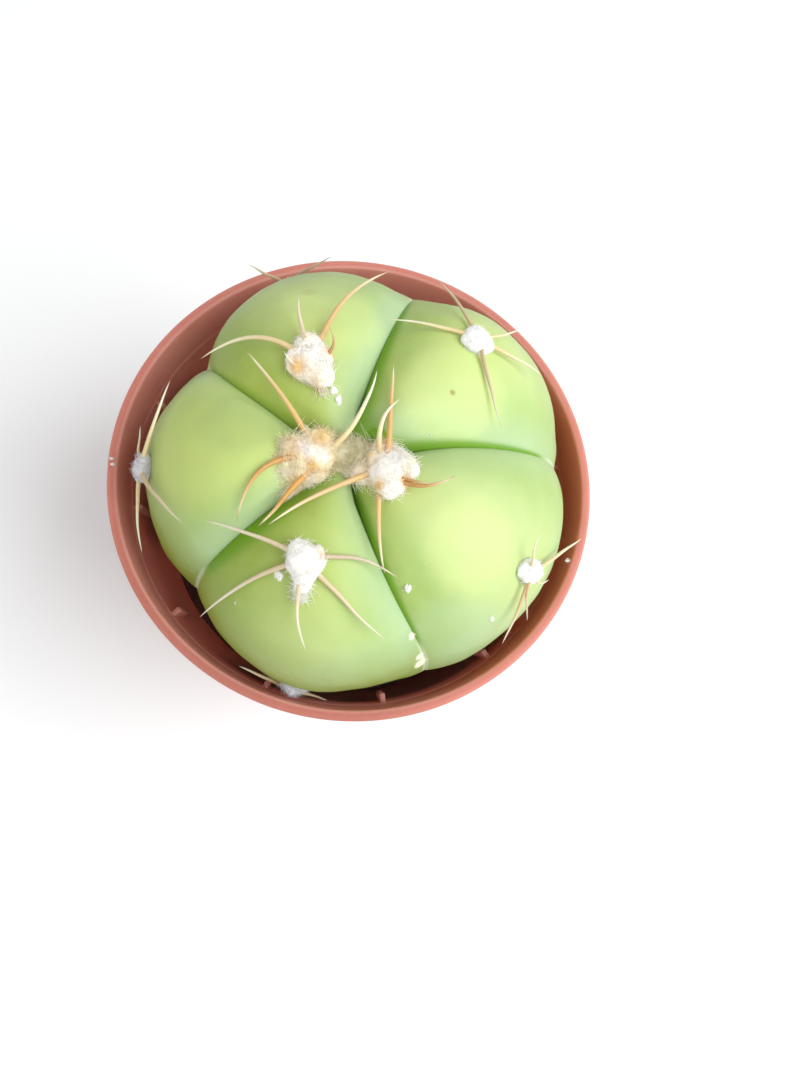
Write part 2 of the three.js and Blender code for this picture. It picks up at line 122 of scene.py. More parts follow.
class Finish:
    """A material. Numbers that are the same all over are set on the shader's own sockets."""

    def __init__(self, name, **constants):
        self.material = bpy.data.materials.new(name)
        self.material.use_nodes = True
        self.tree = self.material.node_tree
        self.shader = self.tree.nodes["Principled BSDF"]
        self.colour = paint(255, 255, 255)
        for socket, value in constants.items():
            self.shader.inputs[socket.replace("_", " ")].default_value = value

    def node(self, kind, settings=None, sockets=None, output=0):
        """Any node: its settings first, then the values or links of its sockets."""
        made = self.tree.nodes.new(kind)
        for name, value in (settings or {}).items():
            setattr(made, name, value)
        for key, value in (sockets or {}).items():
            self.feed(made.inputs[key], value)
        return Reading(self, made.outputs[output])

    def feed(self, socket, value):
        if isinstance(value, Reading):
            self.tree.links.new(value.socket, socket)
        else:
            socket.default_value = value

    def place(self):
        return self.node("ShaderNodeTexCoord", output="Object")

    def stored(self, name):
        """A number that was stored on the mesh's points."""
        return self.node("ShaderNodeAttribute", {"attribute_name": name}, output="Fac")

    def noise(self, size_mm, detail=3.0, roughness=0.5, distortion=0.0):
        """Soft noise from 0 to 1, with blotches about size_mm across."""
        sockets = {"Vector": self.place(), "Scale": 1 / (size_mm * MM), "Detail": detail}
        sockets |= {"Roughness": roughness, "Distortion": distortion}
        return self.node("ShaderNodeTexNoise", None, sockets)

    def fade(self, value, low, high):
        """0 below low, 1 above high and a soft step between them."""
        sockets = {"Value": value, "From Min": low, "From Max": high}
        return self.node("ShaderNodeMapRange", {"interpolation_type": "SMOOTHSTEP"}, sockets)

    def mix(self, share, first, second):
        """One colour that turns into another."""
        sockets = {0: share, 6: first, 7: second}
        return self.node("ShaderNodeMix", {"data_type": "RGBA"}, sockets, output=2)

    def vector(self, operation, first, second, output=0):
        sockets = {0: first, 1: second}
        return self.node("ShaderNodeVectorMath", {"operation": operation}, sockets, output)

    def near(self, point_mm, reach_mm, ragged):
        """1 at a point and 0 from reach_mm away, with an edge that noise makes ragged."""
        centre = [length * MM for length in point_mm]
        away = self.vector("DISTANCE", self.place(), centre, output=1) * (1 / (reach_mm * MM))
        away = away + (self.noise(reach_mm * 0.5) - 0.5) * ragged
        return 1 - self.fade(away, SOFT_FROM, 1.0)

    def tint(self, share, red, green, blue):
        """Lays one more colour over the finish's own. The share may vary over the surface."""
        self.colour = self.mix(share, self.colour, paint(red, green, blue))

    def tint_places(self, rows):
        """Tints single places. A row is the middle, reach, raggedness, share and colour."""
        for middle, reach, ragged, share, colour in rows:
            self.tint(self.near(middle, reach, ragged) * share, *colour)

    def bump(self, height, depth_mm, strength):
        sockets = {"Height": height, "Distance": depth_mm * MM, "Strength": strength}
        self.surface(Normal=self.node("ShaderNodeBump", None, sockets))

    def surface(self, **fed):
        """Feeds sockets of the shader, named with _ for a space."""
        for socket, value in fed.items():
            self.feed(self.shader.inputs[socket.replace("_", " ")], value)


print("finishes are ready to be written")

# %% [markdown]
# ## Pieces from arrays of points
# Every piece is worked out as arrays of points and faces, in millimetres, and turned into a mesh
# in one step. The frame is in metres, so the points are scaled there and nowhere else. A piece is
# often several closed shells, such as the spines of one areole, and a small class gathers them.

# %% Shells gathered into one piece
class Shells:
    """Closed shells that end up in one mesh, with numbers stored on their points."""

    def __init__(self):
        self.points = []
        self.faces = []
        self.stored = {}
        self.count = 0

    def add(self, points, faces, **tones):
        """Adds a shell. A tone is one number for the shell or one for each point."""
        self.points.append(points)
        self.faces += [tuple(i + self.count for i in face) for face in faces]
        self.count += len(points)
        for tone, values in tones.items():
            self.stored.setdefault(tone, []).append(np.broadcast_to(values, len(points)))


print("an empty piece has", Shells().count, "points")

# %% A piece from shells
def bare_mesh(name, points, faces):
    mesh = bpy.data.meshes.new(name)
    mesh.from_pydata((np.asarray(points) * MM).tolist(), [], faces)
    mesh.validate()
    piece = bpy.data.objects.new(name, mesh)
    bpy.context.collection.objects.link(piece)
    return piece


def dress(piece, finish, replaced=()):
    """Gives a piece its finish and says which body and which solids it belongs to."""
    piece.data.materials.clear()
    piece.data.materials.append(finish.material)
    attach(piece, "root")
    if replaced:
        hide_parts(*replaced)
    triangles = sum(len(polygon.vertices) - 2 for polygon in piece.data.polygons)
    print(f"{piece.name}: {triangles} triangles")


def make_piece(name, shells, finish, replaced=()):
    piece = bare_mesh(name, np.concatenate(shells.points), shells.faces)
    for tone, values in shells.stored.items():
        stored = piece.data.attributes.new(tone, "FLOAT", "POINT").data
        stored.foreach_set("value", np.concatenate(values).astype(np.float32))
    piece.data.shade_smooth()
    dress(piece, finish, replaced)
    return piece


print("points are scaled by", MM, "for the mesh")

# %% Directions and soft noise
WAVE_COUNT = 10
WAVE_WIDTHS = (0.6, 1.4)


def unit(vectors):
    """Vectors of length one, along the last axis."""
    return vectors / np.maximum(np.linalg.norm(vectors, axis=-1, keepdims=True), 1e-12)


def soft_waves(points, size_mm, seed):
    """A smooth random height over space, about -1 to 1, from slanted waves."""
    random = np.random.default_rng(seed)
    height = np.zeros(points.shape[:-1])
    for _ in range(WAVE_COUNT):
        direction = unit(random.normal(size=3)) * random.uniform(*WAVE_WIDTHS) * 2 * np.pi / size_mm
        height += np.sin(points @ direction + random.uniform(0, 2 * np.pi))
    return height / np.sqrt(WAVE_COUNT)


def relief(points, rows, base=0.0):
    """A rough height: soft waves added to a base. A row is how high, how wide and the seed."""
    return sum((high * soft_waves(points, wide, seed) for high, wide, seed in rows), base)


print("soft waves at three places:", soft_waves(np.eye(3), 2.0, 1).round(2))


# %% Faces between rings of points
def grid_faces(rows, columns, first=0):
    """Quads between rings of points that close round, ring after ring."""
    faces = []
    for row in range(rows - 1):
        here = first + row * columns
        below = here + columns
        for i in range(columns):
            j = (i + 1) % columns
            faces.append((here + i, below + i, below + j, here + j))
    return faces


def fan_faces(tip, ring, columns, outward=True):
    """Triangles that close a ring of points with one more point."""
    pairs = [(ring + i, ring + (i + 1) % columns) for i in range(columns)]
    return [(tip, first, second) if outward else (tip, second, first) for first, second in pairs]


print("a ring of 8 points closes with", len(fan_faces(8, 0, 8)), "triangles")

# %% [markdown]
# ## The plant's skin as a formula
# Growers call this a globe, but it is a squashed one: the waist is level with the rim and the
# crown is sunken. Five furrows run from the crown to the root. Sculpting would do, but a formula
# has two advantages. The wool and the spines can ask it where the skin is, and the fine mesh keeps
# the same form as the solid.

# %% The plant's sizes
PLANT_AXIS = (0.8, -0.75)
PLANT_LEAN = (-2.8, -1.2)
PLANT_RADIUS = 23.6
PLANT_RISE = 14.8
PLANT_DROP = 20.0
FULLNESS = 2.3
LOWER_FULLNESS = 1.6
CROWN_DIP = 3.8
CROWN_WIDTH = 7.0
LAST_POLAR = math.radians(155)
FURROW_AT = np.radians([4, 76, 148, 216, 287.5])
FURROW_BEND = np.radians([4, 1, 5, 2, -5])
FURROW_CUT = np.array([1.6, 0.4, 2.2, 1.7, 1.35])
RIB_SWELL = np.array([0.035, 0.045, 0, 0.025, -0.02])
CREASE_TOP = 3.2
CREASE_SHARPNESS = 0.7
CREASE_FADE = 5.0
print("five ribs,", PLANT_RISE + PLANT_DROP, "mm from foot to top")


# %% Which rib a place is on
def inner_share(polar):
    """How far in from the waist a polar angle is: 0 at the waist, 1 at the crown."""
    return np.where(np.cos(polar) > 0, 1 - np.abs(np.sin(polar)) ** (4 / FULLNESS), 0.0)


def furrow_angles(inner):
    """The furrows' angles, with the first one again a full turn on."""
    angles = FURROW_AT + FURROW_BEND * np.asarray(inner)[..., None]
    return np.concatenate([angles, angles[..., :1] + 2 * np.pi], -1)


def rib_share(azimuth, polar):
    """The rib that a place is on, and how far across it, from 0 to 1."""
    angles = furrow_angles(inner_share(polar))
    turn = np.mod(azimuth - angles[..., 0], 2 * np.pi) + angles[..., 0]
    rib = np.clip((turn[..., None] >= angles).sum(-1) - 1, 0, 4)
    start = np.take_along_axis(angles, rib[..., None], -1)[..., 0]
    end = np.take_along_axis(angles, rib[..., None] + 1, -1)[..., 0]
    return rib, (turn - start) / (end - start)


print("30 degrees round is on rib", rib_share(np.radians(30.0), np.pi / 2)[0] + 1)


# %% The skin formula
def skin(azimuth, polar):
    """Points of the skin."""
    azimuth, polar = np.broadcast_arrays(np.asarray(azimuth, float), np.asarray(polar, float))
    inner = inner_share(polar)
    rib, across = rib_share(azimuth, polar)
    crest = np.maximum(0, np.sin(np.pi * across))
    upper = np.cos(polar) > 0
    power = np.where(upper, FULLNESS, LOWER_FULLNESS)
    half = np.where(upper, PLANT_RISE, PLANT_DROP)
    cosine = np.abs(np.cos(polar))
    widest = PLANT_RADIUS * (1 + RIB_SWELL[rib] * crest**2)
    radius = widest * np.abs(np.sin(polar)) ** (2 / power)
    height = half * cosine ** (2 / power)
    slope_out = (radius / widest) ** (power - 1) / widest
    slope_up = (height / half) ** (power - 1) / half
    steep = np.hypot(slope_out, slope_up)
    cut = FURROW_CUT[rib] * (1 - across) + np.roll(FURROW_CUT, -1)[rib] * across
    depth = cut + np.where(upper, (CREASE_TOP - cut) * cosine**CREASE_SHARPNESS, 0)
    inward = depth * np.minimum(1, radius / CREASE_FADE) * (1 - crest**CREASE_SHARPNESS)
    dip = np.where(upper, CROWN_DIP * np.exp(-((radius / CROWN_WIDTH) ** 2)), 0)
    out = radius - slope_out / steep * inward
    level = np.where(upper, 1, -1) * (height - slope_up / steep * inward)
    east = PLANT_AXIS[0] + PLANT_LEAN[0] * inner + out * np.cos(azimuth)
    north = PLANT_AXIS[1] + PLANT_LEAN[1] * inner + out * np.sin(azimuth)
    return np.stack([east, north, RIM_HEIGHT + level - dip], -1)


def skin_normal(azimuth, polar):
    step = 1e-3
    around = skin(azimuth + step, polar) - skin(azimuth - step, polar)
    down = skin(azimuth, polar + step) - skin(azimuth, polar - step)
    return unit(np.cross(down, around))


waist = skin(np.radians(np.arange(0, 360, 2)), np.pi / 2)
print("the plant is", np.ptp(waist[:, 0]).round(1), "by", np.ptp(waist[:, 1]).round(1), "mm")

# %% [markdown]
# ## Where the areoles sit
# An areole is the woolly cushion that spines grow from, and it is what makes a plant a cactus.
# Each entry has its place (degrees round the axis, degrees down from the crown), its pad of wool
# (length down the rib, width, height) and its spines. A spine has the direction of its tip
# (degrees turned from down the rib, degrees lifted off the skin), its length, and how far its
# middle bows sideways and off the skin. The same values made the solids.

# %% The areoles
AREOLES = {
    "rib1_upper": {
        "place": (45.5, 42), "pad": (3.2, 3.2, 1.7),
        "spines": [
            (123, -12, 9.5, -0.2, 0.4), (60, -9, 11, 0, 0.5), (-17, 7, 5.5, -0.4, 0.4),
            (-59, -6, 8, 0, 0.3), (-116, -18, 10, -0.6, 0.5),
        ],
    },
    "rib1_lower": {
        "place": (48, 106), "pad": (2.4, 3.0, 1.1),
        "spines": [(140, -6, 4.5, 0, 0.2), (-140, -6, 4.5, 0, 0.2), (180, -2, 5, 0.2, 0)],
    },
    "rib2_upper": {
        "place": (116, 18.5), "pad": (5.4, 4.5, 2.0),
        "spines": [
            (60, -20, 12, -2.0, 1.2), (-11, -6, 7.5, 0.4, 0.5), (-55, -17, 15.5, 1.3, 1.2),
            (-46, 9, 4, -1.2, 0.2), (52, 17, 3, 0.8, 0.1),
        ],
    },
    "rib2_lower": {
        "place": (112, 88), "pad": (2.8, 3.2, 1.4),
        "spines": [(146, 1, 8, 0, 0.2), (-143, -10, 8, 0, 0.3), (95, -6, 4, 0, 0.2), (-95, -6, 5, 0, 0.2)],
    },
    "rib3_upper": {
        "place": (193, 5.5), "pad": (5.6, 5.4, 2.2),
        "spines": [
            (-69, -24, 13, -0.3, 0.6), (31, -8, 10, -2.8, 0.8), (39, 1, 9, 0, 0.4),
            (-130, 6, 10.5, -0.8, 0.7),
        ],
    },
    "rib3_lower": {
        "place": (183.5, 72), "pad": (3.0, 3.2, 2.0),
        "spines": [
            (-110, -14, 9.5, -1.7, 0.5), (-81, 0, 5, 0.1, 0.2), (61, -5, 9, -1.3, 0.3),
            (133, -14, 11, -0.3, 0.3),
        ],
    },
    "rib4_upper": {
        "place": (249.5, 27.5), "pad": (4.6, 3.9, 2.0),
        "spines": [
            (-93, -9, 10.5, -0.4, 0.4), (-45, -22, 13, -0.7, 0.8), (18, -6, 8.5, -0.8, 0.5),
            (62, -16, 11, -0.2, 0.5), (97, -17, 9, 1.0, 0.5),
        ],
    },
    "rib4_lower": {
        "place": (252.5, 99.5), "pad": (2.4, 2.8, 1.5),
        "spines": [(-112, -11, 6.5, 1.7, 0.3), (121, -10, 4.5, -1.2, 0.3)],
    },
    "rib5_upper": {
        "place": (331.5, 8.5), "pad": (5.8, 5.6, 2.4),
        "spines": [
            (111, 23, 11, -0.2, 0.4), (101, 30, 7, 1.3, 0.4), (-117, 9, 13, -0.3, 0.5),
            (-64, -18, 10.5, -0.6, 0.8), (15, 2, 7, -1.9, 0.3), (-4, 8, 5.5, -0.5, 0.3),
        ],
    },
    "rib5_lower": {
        "place": (325.5, 59.5), "pad": (3.0, 2.4, 1.6),
        "spines": [
            (134, 11, 4.5, 0.8, 0.2), (50, -5, 9.5, 0.2, 0.3), (12, 34, 2, -0.8, 0),
            (-60, 7, 5, -0.7, 0.2), (-72, -5, 8, -0.4, 0.4),
        ],
    },
}
print(len(AREOLES), "areoles with", sum(len(a["spines"]) for a in AREOLES.values()), "spines")

# %% An areole's own directions
LOW_FROM = 60  # degrees down from which an areole hangs straight down the side
CROWN_POINT = skin(0.0, 0.0)


def areole_frame(name):
    """A point on the skin with three directions: off the skin, down the rib and sideways."""
    azimuth, polar = np.radians(AREOLES[name]["place"])
    point = skin(azimuth, polar)
    off = skin_normal(azimuth, polar)
    low = AREOLES[name]["place"][1] > LOW_FROM
    away = np.array([0.0, 0.0, -1.0]) if low else point - CROWN_POINT
    down = unit(away - off * (away @ off))
    return point, off, down, np.cross(off, down)


print("the crown's lowest point is", CROWN_POINT[2].round(1), "mm up")

# %% [markdown]
# ## The skin
# The real skin is smooth and waxy, swells in plump cheeks and has a shallow seat under each
# areole. A grid of points follows the formula. Its columns crowd together at the furrows, where
# the surface turns fastest, so that the creases stay crisp. A little extra relief is added to the
# points themselves, because a shape that shows belongs in the mesh and not only in the finish.

# %% The skin's grid of points
COLUMNS_PER_RIB = 68
SKIN_ROWS = 233
ROOT_ROWS = [(7.5, -1.6), (5, 0.3), (3.4, 3), (1.8, 9.5), (0.05, 12.5)]  # radius, depth
SKIN_RELIEF = [(0.15, 13.0, 5), (0.03, 3.5, 6)]
CUSHION_HEIGHT, CUSHION_REACH = 0.35, 1.5
SEAT_DEPTH, SEAT_REACH = 0.55, 0.75
polar = np.linspace(0.0, LAST_POLAR, SKIN_ROWS + 1)[1:]
edges = furrow_angles(inner_share(polar))
eased = (1 - np.cos(np.pi * np.arange(COLUMNS_PER_RIB) / COLUMNS_PER_RIB)) / 2
azimuth = (edges[:, :-1, None] + np.diff(edges)[..., None] * eased).reshape(SKIN_ROWS, -1)
polar = np.broadcast_to(polar[:, None], azimuth.shape)
points = skin(azimuth, polar)
rib, across = rib_share(azimuth, polar)
crest = np.maximum(0, np.sin(np.pi * across))
lift = relief(points, SKIN_RELIEF)
for name, areole in AREOLES.items():
    reach = np.linalg.norm(points - areole_frame(name)[0], axis=-1)
    reach = reach / (0.5 * sum(areole["pad"][:2]))
    lift += CUSHION_HEIGHT * np.exp(-((reach / CUSHION_REACH) ** 2))
    lift -= SEAT_DEPTH * np.exp(-((reach / SEAT_REACH) ** 2))
points = points + skin_normal(azimuth, polar) * (lift * np.minimum(1, crest * 3))[..., None]
columns = azimuth.shape[1]
foot = RIM_HEIGHT - PLANT_DROP
turn = azimuth[-1]
root = []
for radius, depth in ROOT_ROWS:
    east, north = PLANT_AXIS[0] + radius * np.cos(turn), PLANT_AXIS[1] + radius * np.sin(turn)
    root.append(np.stack([east, north, np.full(columns, foot - depth)], -1))
skin_points = np.concatenate([[CROWN_POINT], points.reshape(-1, 3), *root])
skin_rings = SKIN_ROWS + len(root)
skin_faces = fan_faces(0, 1, columns) + grid_faces(skin_rings, columns, 1)
skin_faces.append(tuple(1 + (skin_rings - 1) * columns + i for i in reversed(range(columns))))
print("skin points:", len(skin_points))

# %% [markdown]
# ## Tones of the skin
# Seen close, the skin is not one green. Where two ribs meet, one side of the furrow carries a
# pale bluish wax right up to the line, and the other side shows a strip of saturated green that
# is partly painted crease shade. On ribs that face away from the window, painted shade turns the
# skin olive beside a furrow, and on all of them at the waist. Round an upper areole the green is
# warmer and lighter, partly as a painted highlight. All this is worked out here from distances,
# and stored on the points of the mesh, so that the finish only has to read it.

# %% Widths and strengths of the tones
# each pair is the width and strength of a tone before or after one of the five furrows
NO_TONE = (1, 0)
# The strip of saturated green beside a furrow is partly painted crease shade.
CREASE_SHADE_BEFORE = [NO_TONE, (0.8, 1), (0.6, 0.35), NO_TONE, NO_TONE]
CREASE_SHADE_AFTER = [(0.4, 0.95), NO_TONE, NO_TONE, (1.9, 1), (0.6, 0.95)]
WAX_BEFORE = [(2.6, 0.6), NO_TONE, NO_TONE, (3.0, 0.9), (3.2, 0.9)]
WAX_AFTER = [(2.8, 0.9), (3.0, 1), (4.0, 1), NO_TONE, NO_TONE]
# The olive beside a furrow, on ribs that face away from the window, is painted shade.
OLIVE_BEFORE = [NO_TONE, (5.5, 0.5), (10, 0.85), NO_TONE, NO_TONE]
OLIVE_AFTER = [NO_TONE, NO_TONE, NO_TONE, (11, 0.9), (4, 0.4)]
OLIVE_RIB = np.array([0, 0, 0.25, 0.1, 0])
# The olive at the waist is painted shade, weakest on the ribs that face the window.
LOW_TONE = np.array([0.45, 0.6, 1.1, 0.9, 0.3])
LOW_WIDTH = 0.3
# The warmer, lighter green round an upper areole is partly a painted highlight.
WARM_HIGHLIGHT_REACH = 5.5
print("strips of fresh green:", sum(row != NO_TONE for row in CREASE_SHADE_BEFORE + CREASE_SHADE_AFTER))

# %% Masks beside the furrows and round the areoles
# the arc from furrow to furrow, in mm
rib_width = np.hypot(*(points[..., :2] - PLANT_AXIS).transpose(2, 0, 1))
rib_width = rib_width * np.diff(edges)[np.arange(SKIN_ROWS)[:, None], rib]
inner = inner_share(polar)


def beside_furrows(before, after, power, width_scale=1.0):
    """A mask that fades away from the furrows. Each has a width and a strength for each side."""
    mask = 0
    for away, tones in ((1 - across, np.roll(before, -1, 0)), (across, np.array(after))):
        width, strength = tones[rib, 0], tones[rib, 1]
        mask = mask + strength * np.exp(-((away * rib_width / width / width_scale) ** power))
    return mask


fresh_strip = beside_furrows(CREASE_SHADE_BEFORE, CREASE_SHADE_AFTER, 4, 0.4 + 1.2 * inner)
wax_bloom = beside_furrows(WAX_BEFORE, WAX_AFTER, 2)
olive_side = beside_furrows(OLIVE_BEFORE, OLIVE_AFTER, 2) + OLIVE_RIB[rib]
low_edge = LOW_TONE[rib] * (1 - np.clip(inner / LOW_WIDTH, 0, 1))
glow = 0
for name in AREOLES:
    if name.endswith("upper"):
        away = np.linalg.norm(points - areole_frame(name)[0], axis=-1)
        glow = glow + np.exp(-((away / WARM_HIGHLIGHT_REACH) ** 2))
print("fresh green covers", round(float((fresh_strip > 0.5).mean()) * 100, 1), "% of the grid")


# %% The skin's shell and its tones
def with_ends(values, at_crown, at_root):
    """The values of the grid, with those of the crown point and the root added."""
    return np.concatenate([[at_crown], values.ravel(), np.full(columns * len(root), at_root)])


skin_shell = Shells()
skin_shell.add(
    skin_points,
    skin_faces,
    crest=with_ends(crest, 0, 1),
    inner=with_ends(inner, 1, 0),
    fresh=with_ends(fresh_strip, 0, 0),
    wax=with_ends(wax_bloom, 0, 0),
    olive=with_ends(olive_side, 0, 0),
    low=with_ends(low_edge, 0, 0.5),
    glow=with_ends(glow, 0, 0),
)
print("tones stored on the skin:", list(skin_shell.stored))

# %% [markdown]
# ## The skin's finish
# The crests are yellow-green, the flanks are cooler and paler, and painted shade turns the lower
# sides olive. Single places differ from that: a sunned cheek on the left rib, painted highlights on
# the tops of three ribs, painted shade in places next to them, cooler places low in front, and a
# painted shaded side near the window. Old marks are places too: corky scars, a beige patch, brown
# dots and a faint bruise. Subsurface light matters here, because a cactus is full of water and its
# shadows are never quite black.

# %% Places on the skin
SUNNED, PAINTED_HIGHLIGHT, PAINTED_SHADE = (192, 206, 88), (212, 228, 136), (132, 152, 96)
COOL, SHADED = (166, 192, 158), (136, 178, 110)
CORK, BEIGE, BROWN, BRUISED = (236, 232, 204), (214, 198, 160), (150, 118, 50), (160, 132, 70)
SKIN_PLACES = [
    # middle, reach, raggedness, share and colour
    ((-15.0, 0.0, 57.0), 10, 0.3, 0.4, SUNNED),
    # painted highlights on the tops of three crests
    ((-4.0, 13.0, 59.5), 7, 0.3, 0.35, PAINTED_HIGHLIGHT),
    ((9.0, 4.5, 61.0), 7, 0.3, 0.35, PAINTED_HIGHLIGHT),
    ((10.6, -11.0, 60.1), 6, 0.3, 0.35, PAINTED_HIGHLIGHT),
    # painted shade on the tops of the left and back ribs
    ((-12.4, 0.5, 60.6), 5, 0.3, 0.3, PAINTED_SHADE),
    ((-3.9, 20.0, 55.8), 7, 0.3, 0.3, PAINTED_SHADE),
    ((9.2, -19.8, 54.0), 7, 0.3, 0.26, COOL),
    ((14.0, -20.0, 50.0), 8, 0.3, 0.26, COOL),
    ((0.0, -24.0, 52.5), 7, 0.3, 0.26, COOL),
    ((24.0, -10.0, 42.0), 15, 0.3, 0.7, SHADED),
]
SKIN_MARKS = [
    ((6.69, -21.57, 51.02), 1.0, 0.9, 0.9, CORK),
    ((6.3, -21.0, 52.2), 0.6, 0.9, 0.9, CORK),
    ((5.22, -19.29, 54.79), 0.5, 0.9, 0.9, CORK),
    ((-17.35, 9.38, 52.44), 1.6, 0.5, 0.5, BEIGE),
    ((8.5, 4.45, 61.09), 0.42, 0.8, 0.7, BROWN),
    ((6.43, 0.46, 59.74), 0.2, 0.8, 0.7, BROWN),
    ((-6.12, 16.11, 58.83), 0.9, 0.9, 0.2, BRUISED),
]
print("places and marks on the skin:", len(SKIN_PLACES), "and", len(SKIN_MARKS))

# %% The skin's colours and gloss
PORE_SIZE = 0.35
waxy_skin = Finish(
    "waxy_skin", IOR=1.42, Subsurface_Weight=0.25, Subsurface_Scale=0.0016,
    Specular_IOR_Level=0.3, Coat_Weight=0.04, Coat_Roughness=0.4,
)
crest_mask = waxy_skin.stored("crest")
inner_mask = waxy_skin.stored("inner")
blotches = waxy_skin.noise(11, detail=2)
mottle = waxy_skin.noise(1.6, detail=4, roughness=0.6)
on_crest = waxy_skin.fade(crest_mask + (blotches - 0.5) * 0.5, 0.45, 1.0)
waxy_skin.colour = waxy_skin.mix(on_crest, paint(158, 184, 104), paint(182, 200, 130))
# partly a painted highlight: warmer, lighter green round the upper areoles
waxy_skin.tint(waxy_skin.stored("glow") * 0.5, 198, 214, 110)
# painted shade: olive beside the furrows on the sides away from the window
waxy_skin.tint(waxy_skin.stored("olive") * 0.8, 128, 150, 20)
waxy_skin.tint(waxy_skin.stored("wax") * (0.55 + blotches * 0.5), 166, 192, 150)
waxy_skin.tint((mottle - 0.5) * 0.3 + 0.1, 200, 216, 130)
waxy_skin.tint_places(SKIN_PLACES)
# painted shade: olive low on the ribs, at the waist
waxy_skin.tint(waxy_skin.stored("low") * (0.6 + mottle * 0.6), 124, 138, 44)
# partly painted crease shade: a strip of saturated green in the furrows near the crown
waxy_skin.tint(waxy_skin.stored("fresh") * waxy_skin.fade(inner_mask, 0.06, 0.25) * 0.95, 98, 146, 0)
on_seam = (1 - waxy_skin.fade(crest_mask, 0.01, 0.05)) * (1 - waxy_skin.fade(inner_mask, 0.06, 0.22))
waxy_skin.tint(on_seam * 0.7, 206, 214, 176)
waxy_skin.tint_places(SKIN_MARKS)
pore_sockets = {"Vector": waxy_skin.place(), "Scale": 1 / (PORE_SIZE * MM)}
pores = waxy_skin.node("ShaderNodeTexVoronoi", None, pore_sockets)
waxy_skin.surface(Base_Color=waxy_skin.colour, Roughness=0.4 + mottle * 0.16)
waxy_skin.bump(pores * 0.35 + mottle * 0.65, 0.04, 0.4)
make_piece("cactus_skin", skin_shell, waxy_skin, ["cactus_body"])

# %% [markdown]
# ## Spines and fibres are both tubes
# A spine is a thin horny cone that bends a little, and a fibre of wool is the same at a tenth of
# the size. Blender's curves could be beveled, but thousands of them are slow. One function sweeps
# a small ring along many paths at once, and closes each tube at both ends.

# %% Many tubes at once
STEEP = 0.8


def tubes(paths, radii, sides):
    """Closed tubes along paths of equal length. Returns points and faces."""
    count, steps, _ = paths.shape
    along = unit(np.gradient(paths, axis=1))
    guide = np.where(np.abs(along[:, :1, 2:3]) > STEEP, [1.0, 0.0, 0.0], [0.0, 0.0, 1.0])
    across = unit(np.cross(along, np.broadcast_to(guide, along.shape)))
    third = np.cross(along, across)
    turn = 2 * np.pi * np.arange(sides) / sides
    ring = np.cos(turn)[:, None] * across[:, :, None] + np.sin(turn)[:, None] * third[:, :, None]
    points = (paths[:, :, None] + ring * radii[:, :, None, None]).reshape(-1, 3)
    faces = []
    for start in range(0, count * steps * sides, steps * sides):
        faces += [face[::-1] for face in grid_faces(steps, sides, start)]
        top = start + (steps - 1) * sides
        faces.append(tuple(start + i for i in reversed(range(sides))))
        faces.append(tuple(top + i for i in range(sides)))
    return points, faces


print("a tube of 5 steps and 3 sides has", len(tubes(np.eye(5, 3)[None], np.ones((1, 5)), 3)[1]), "faces")

# %% [markdown]
# ## Keeping clear of the neighbours
# A spine leans over the rib and its tip comes close to the pot's wall, so every stop of a path is
# pushed off the skin and off the wall, as in the solids.

# %% Pushing points clear
WALL_FOOT = 18.6
COLLAR_INSIDE = 26.35
COLLAR_DRAFT = 0.7
LEDGE_HEIGHT = RIM_HEIGHT - 4.5
LEDGE_WIDTH = 0.15
sample_azimuth, sample_polar = np.meshgrid(
    np.radians(np.arange(0, 360, 2.0)), np.radians(np.arange(2, 125, 2.0))
)
SAMPLE_POINTS = skin(sample_azimuth, sample_polar).reshape(-1, 3)
SAMPLE_NORMALS = skin_normal(sample_azimuth, sample_polar).reshape(-1, 3)


def wall_radius(height):
    """The inner face of the pot, as in the solid."""
    above = RIM_HEIGHT - max(height, LEDGE_HEIGHT)
    collar = COLLAR_INSIDE - COLLAR_DRAFT * above / (RIM_HEIGHT - LEDGE_HEIGHT)
    if height >= LEDGE_HEIGHT:
        return collar
    return WALL_FOOT + (collar - LEDGE_WIDTH - WALL_FOOT) * height / LEDGE_HEIGHT


def cleared(point, room):
    """The point, moved out of the skin and off the pot's wall."""
    nearest = np.argmin(((SAMPLE_POINTS - point) ** 2).sum(-1))
    height = (point - SAMPLE_POINTS[nearest]) @ SAMPLE_NORMALS[nearest]
    point = point + SAMPLE_NORMALS[nearest] * max(0.0, room - height)
    if point[2] < RIM_HEIGHT + room:
        reach = wall_radius(min(point[2], RIM_HEIGHT)) - room
        point[:2] *= min(1.0, reach / math.hypot(*point[:2]))
    return point


print("the wall is", round(wall_radius(30.0), 1), "mm from the axis at the soil")

# %% [markdown]
# ## Spines
# They leave the areole in a star, curve over the rib and end in needle points. The bases are a
# little swollen, and a spine keeps most of its thickness for half its length. A slight waver is
# added to each path, because no spine is ruler-straight.

# %% The path of a spine
SPINE_SEAT = 0.7
SPINE_ROOM = 0.75
SPINE_STEPS = 30
SPINE_SIDES = 10


def spine_path(name, spine):
    point, off, down, side = areole_frame(name)
    turn, lift, length, bow_side, bow_off = spine
    turn, lift = math.radians(turn), math.radians(lift)
    root = point + off * SPINE_SEAT
    along = down * math.cos(turn) + side * math.sin(turn)
    tip = root + length * (along * math.cos(lift) + off * math.sin(lift))
    middle = (root + tip) / 2 + 2 * bow_side * np.cross(off, along) + 2 * bow_off * off
    share = np.linspace(0, 1, SPINE_STEPS)[:, None]
    path = (1 - share) ** 2 * root + 2 * share * (1 - share) * middle + share**2 * tip
    path[2:] = [cleared(stop, SPINE_ROOM) for stop in path[2:]]
    for _ in range(3):
        path[1:-1] = (path[:-2] + 2 * path[1:-1] + path[2:]) / 4
    return path


print("a path has", len(spine_path("rib1_upper", (0, 0, 8, 0, 0))), "stops")

# %% [markdown]
# The colour runs from amber at the base, through straw, to a pale or brown point, and older
# spines are grey. Each spine stores how far along it a point is and three tones of its own, which
# the finish mixes with fine length-wise streaks.

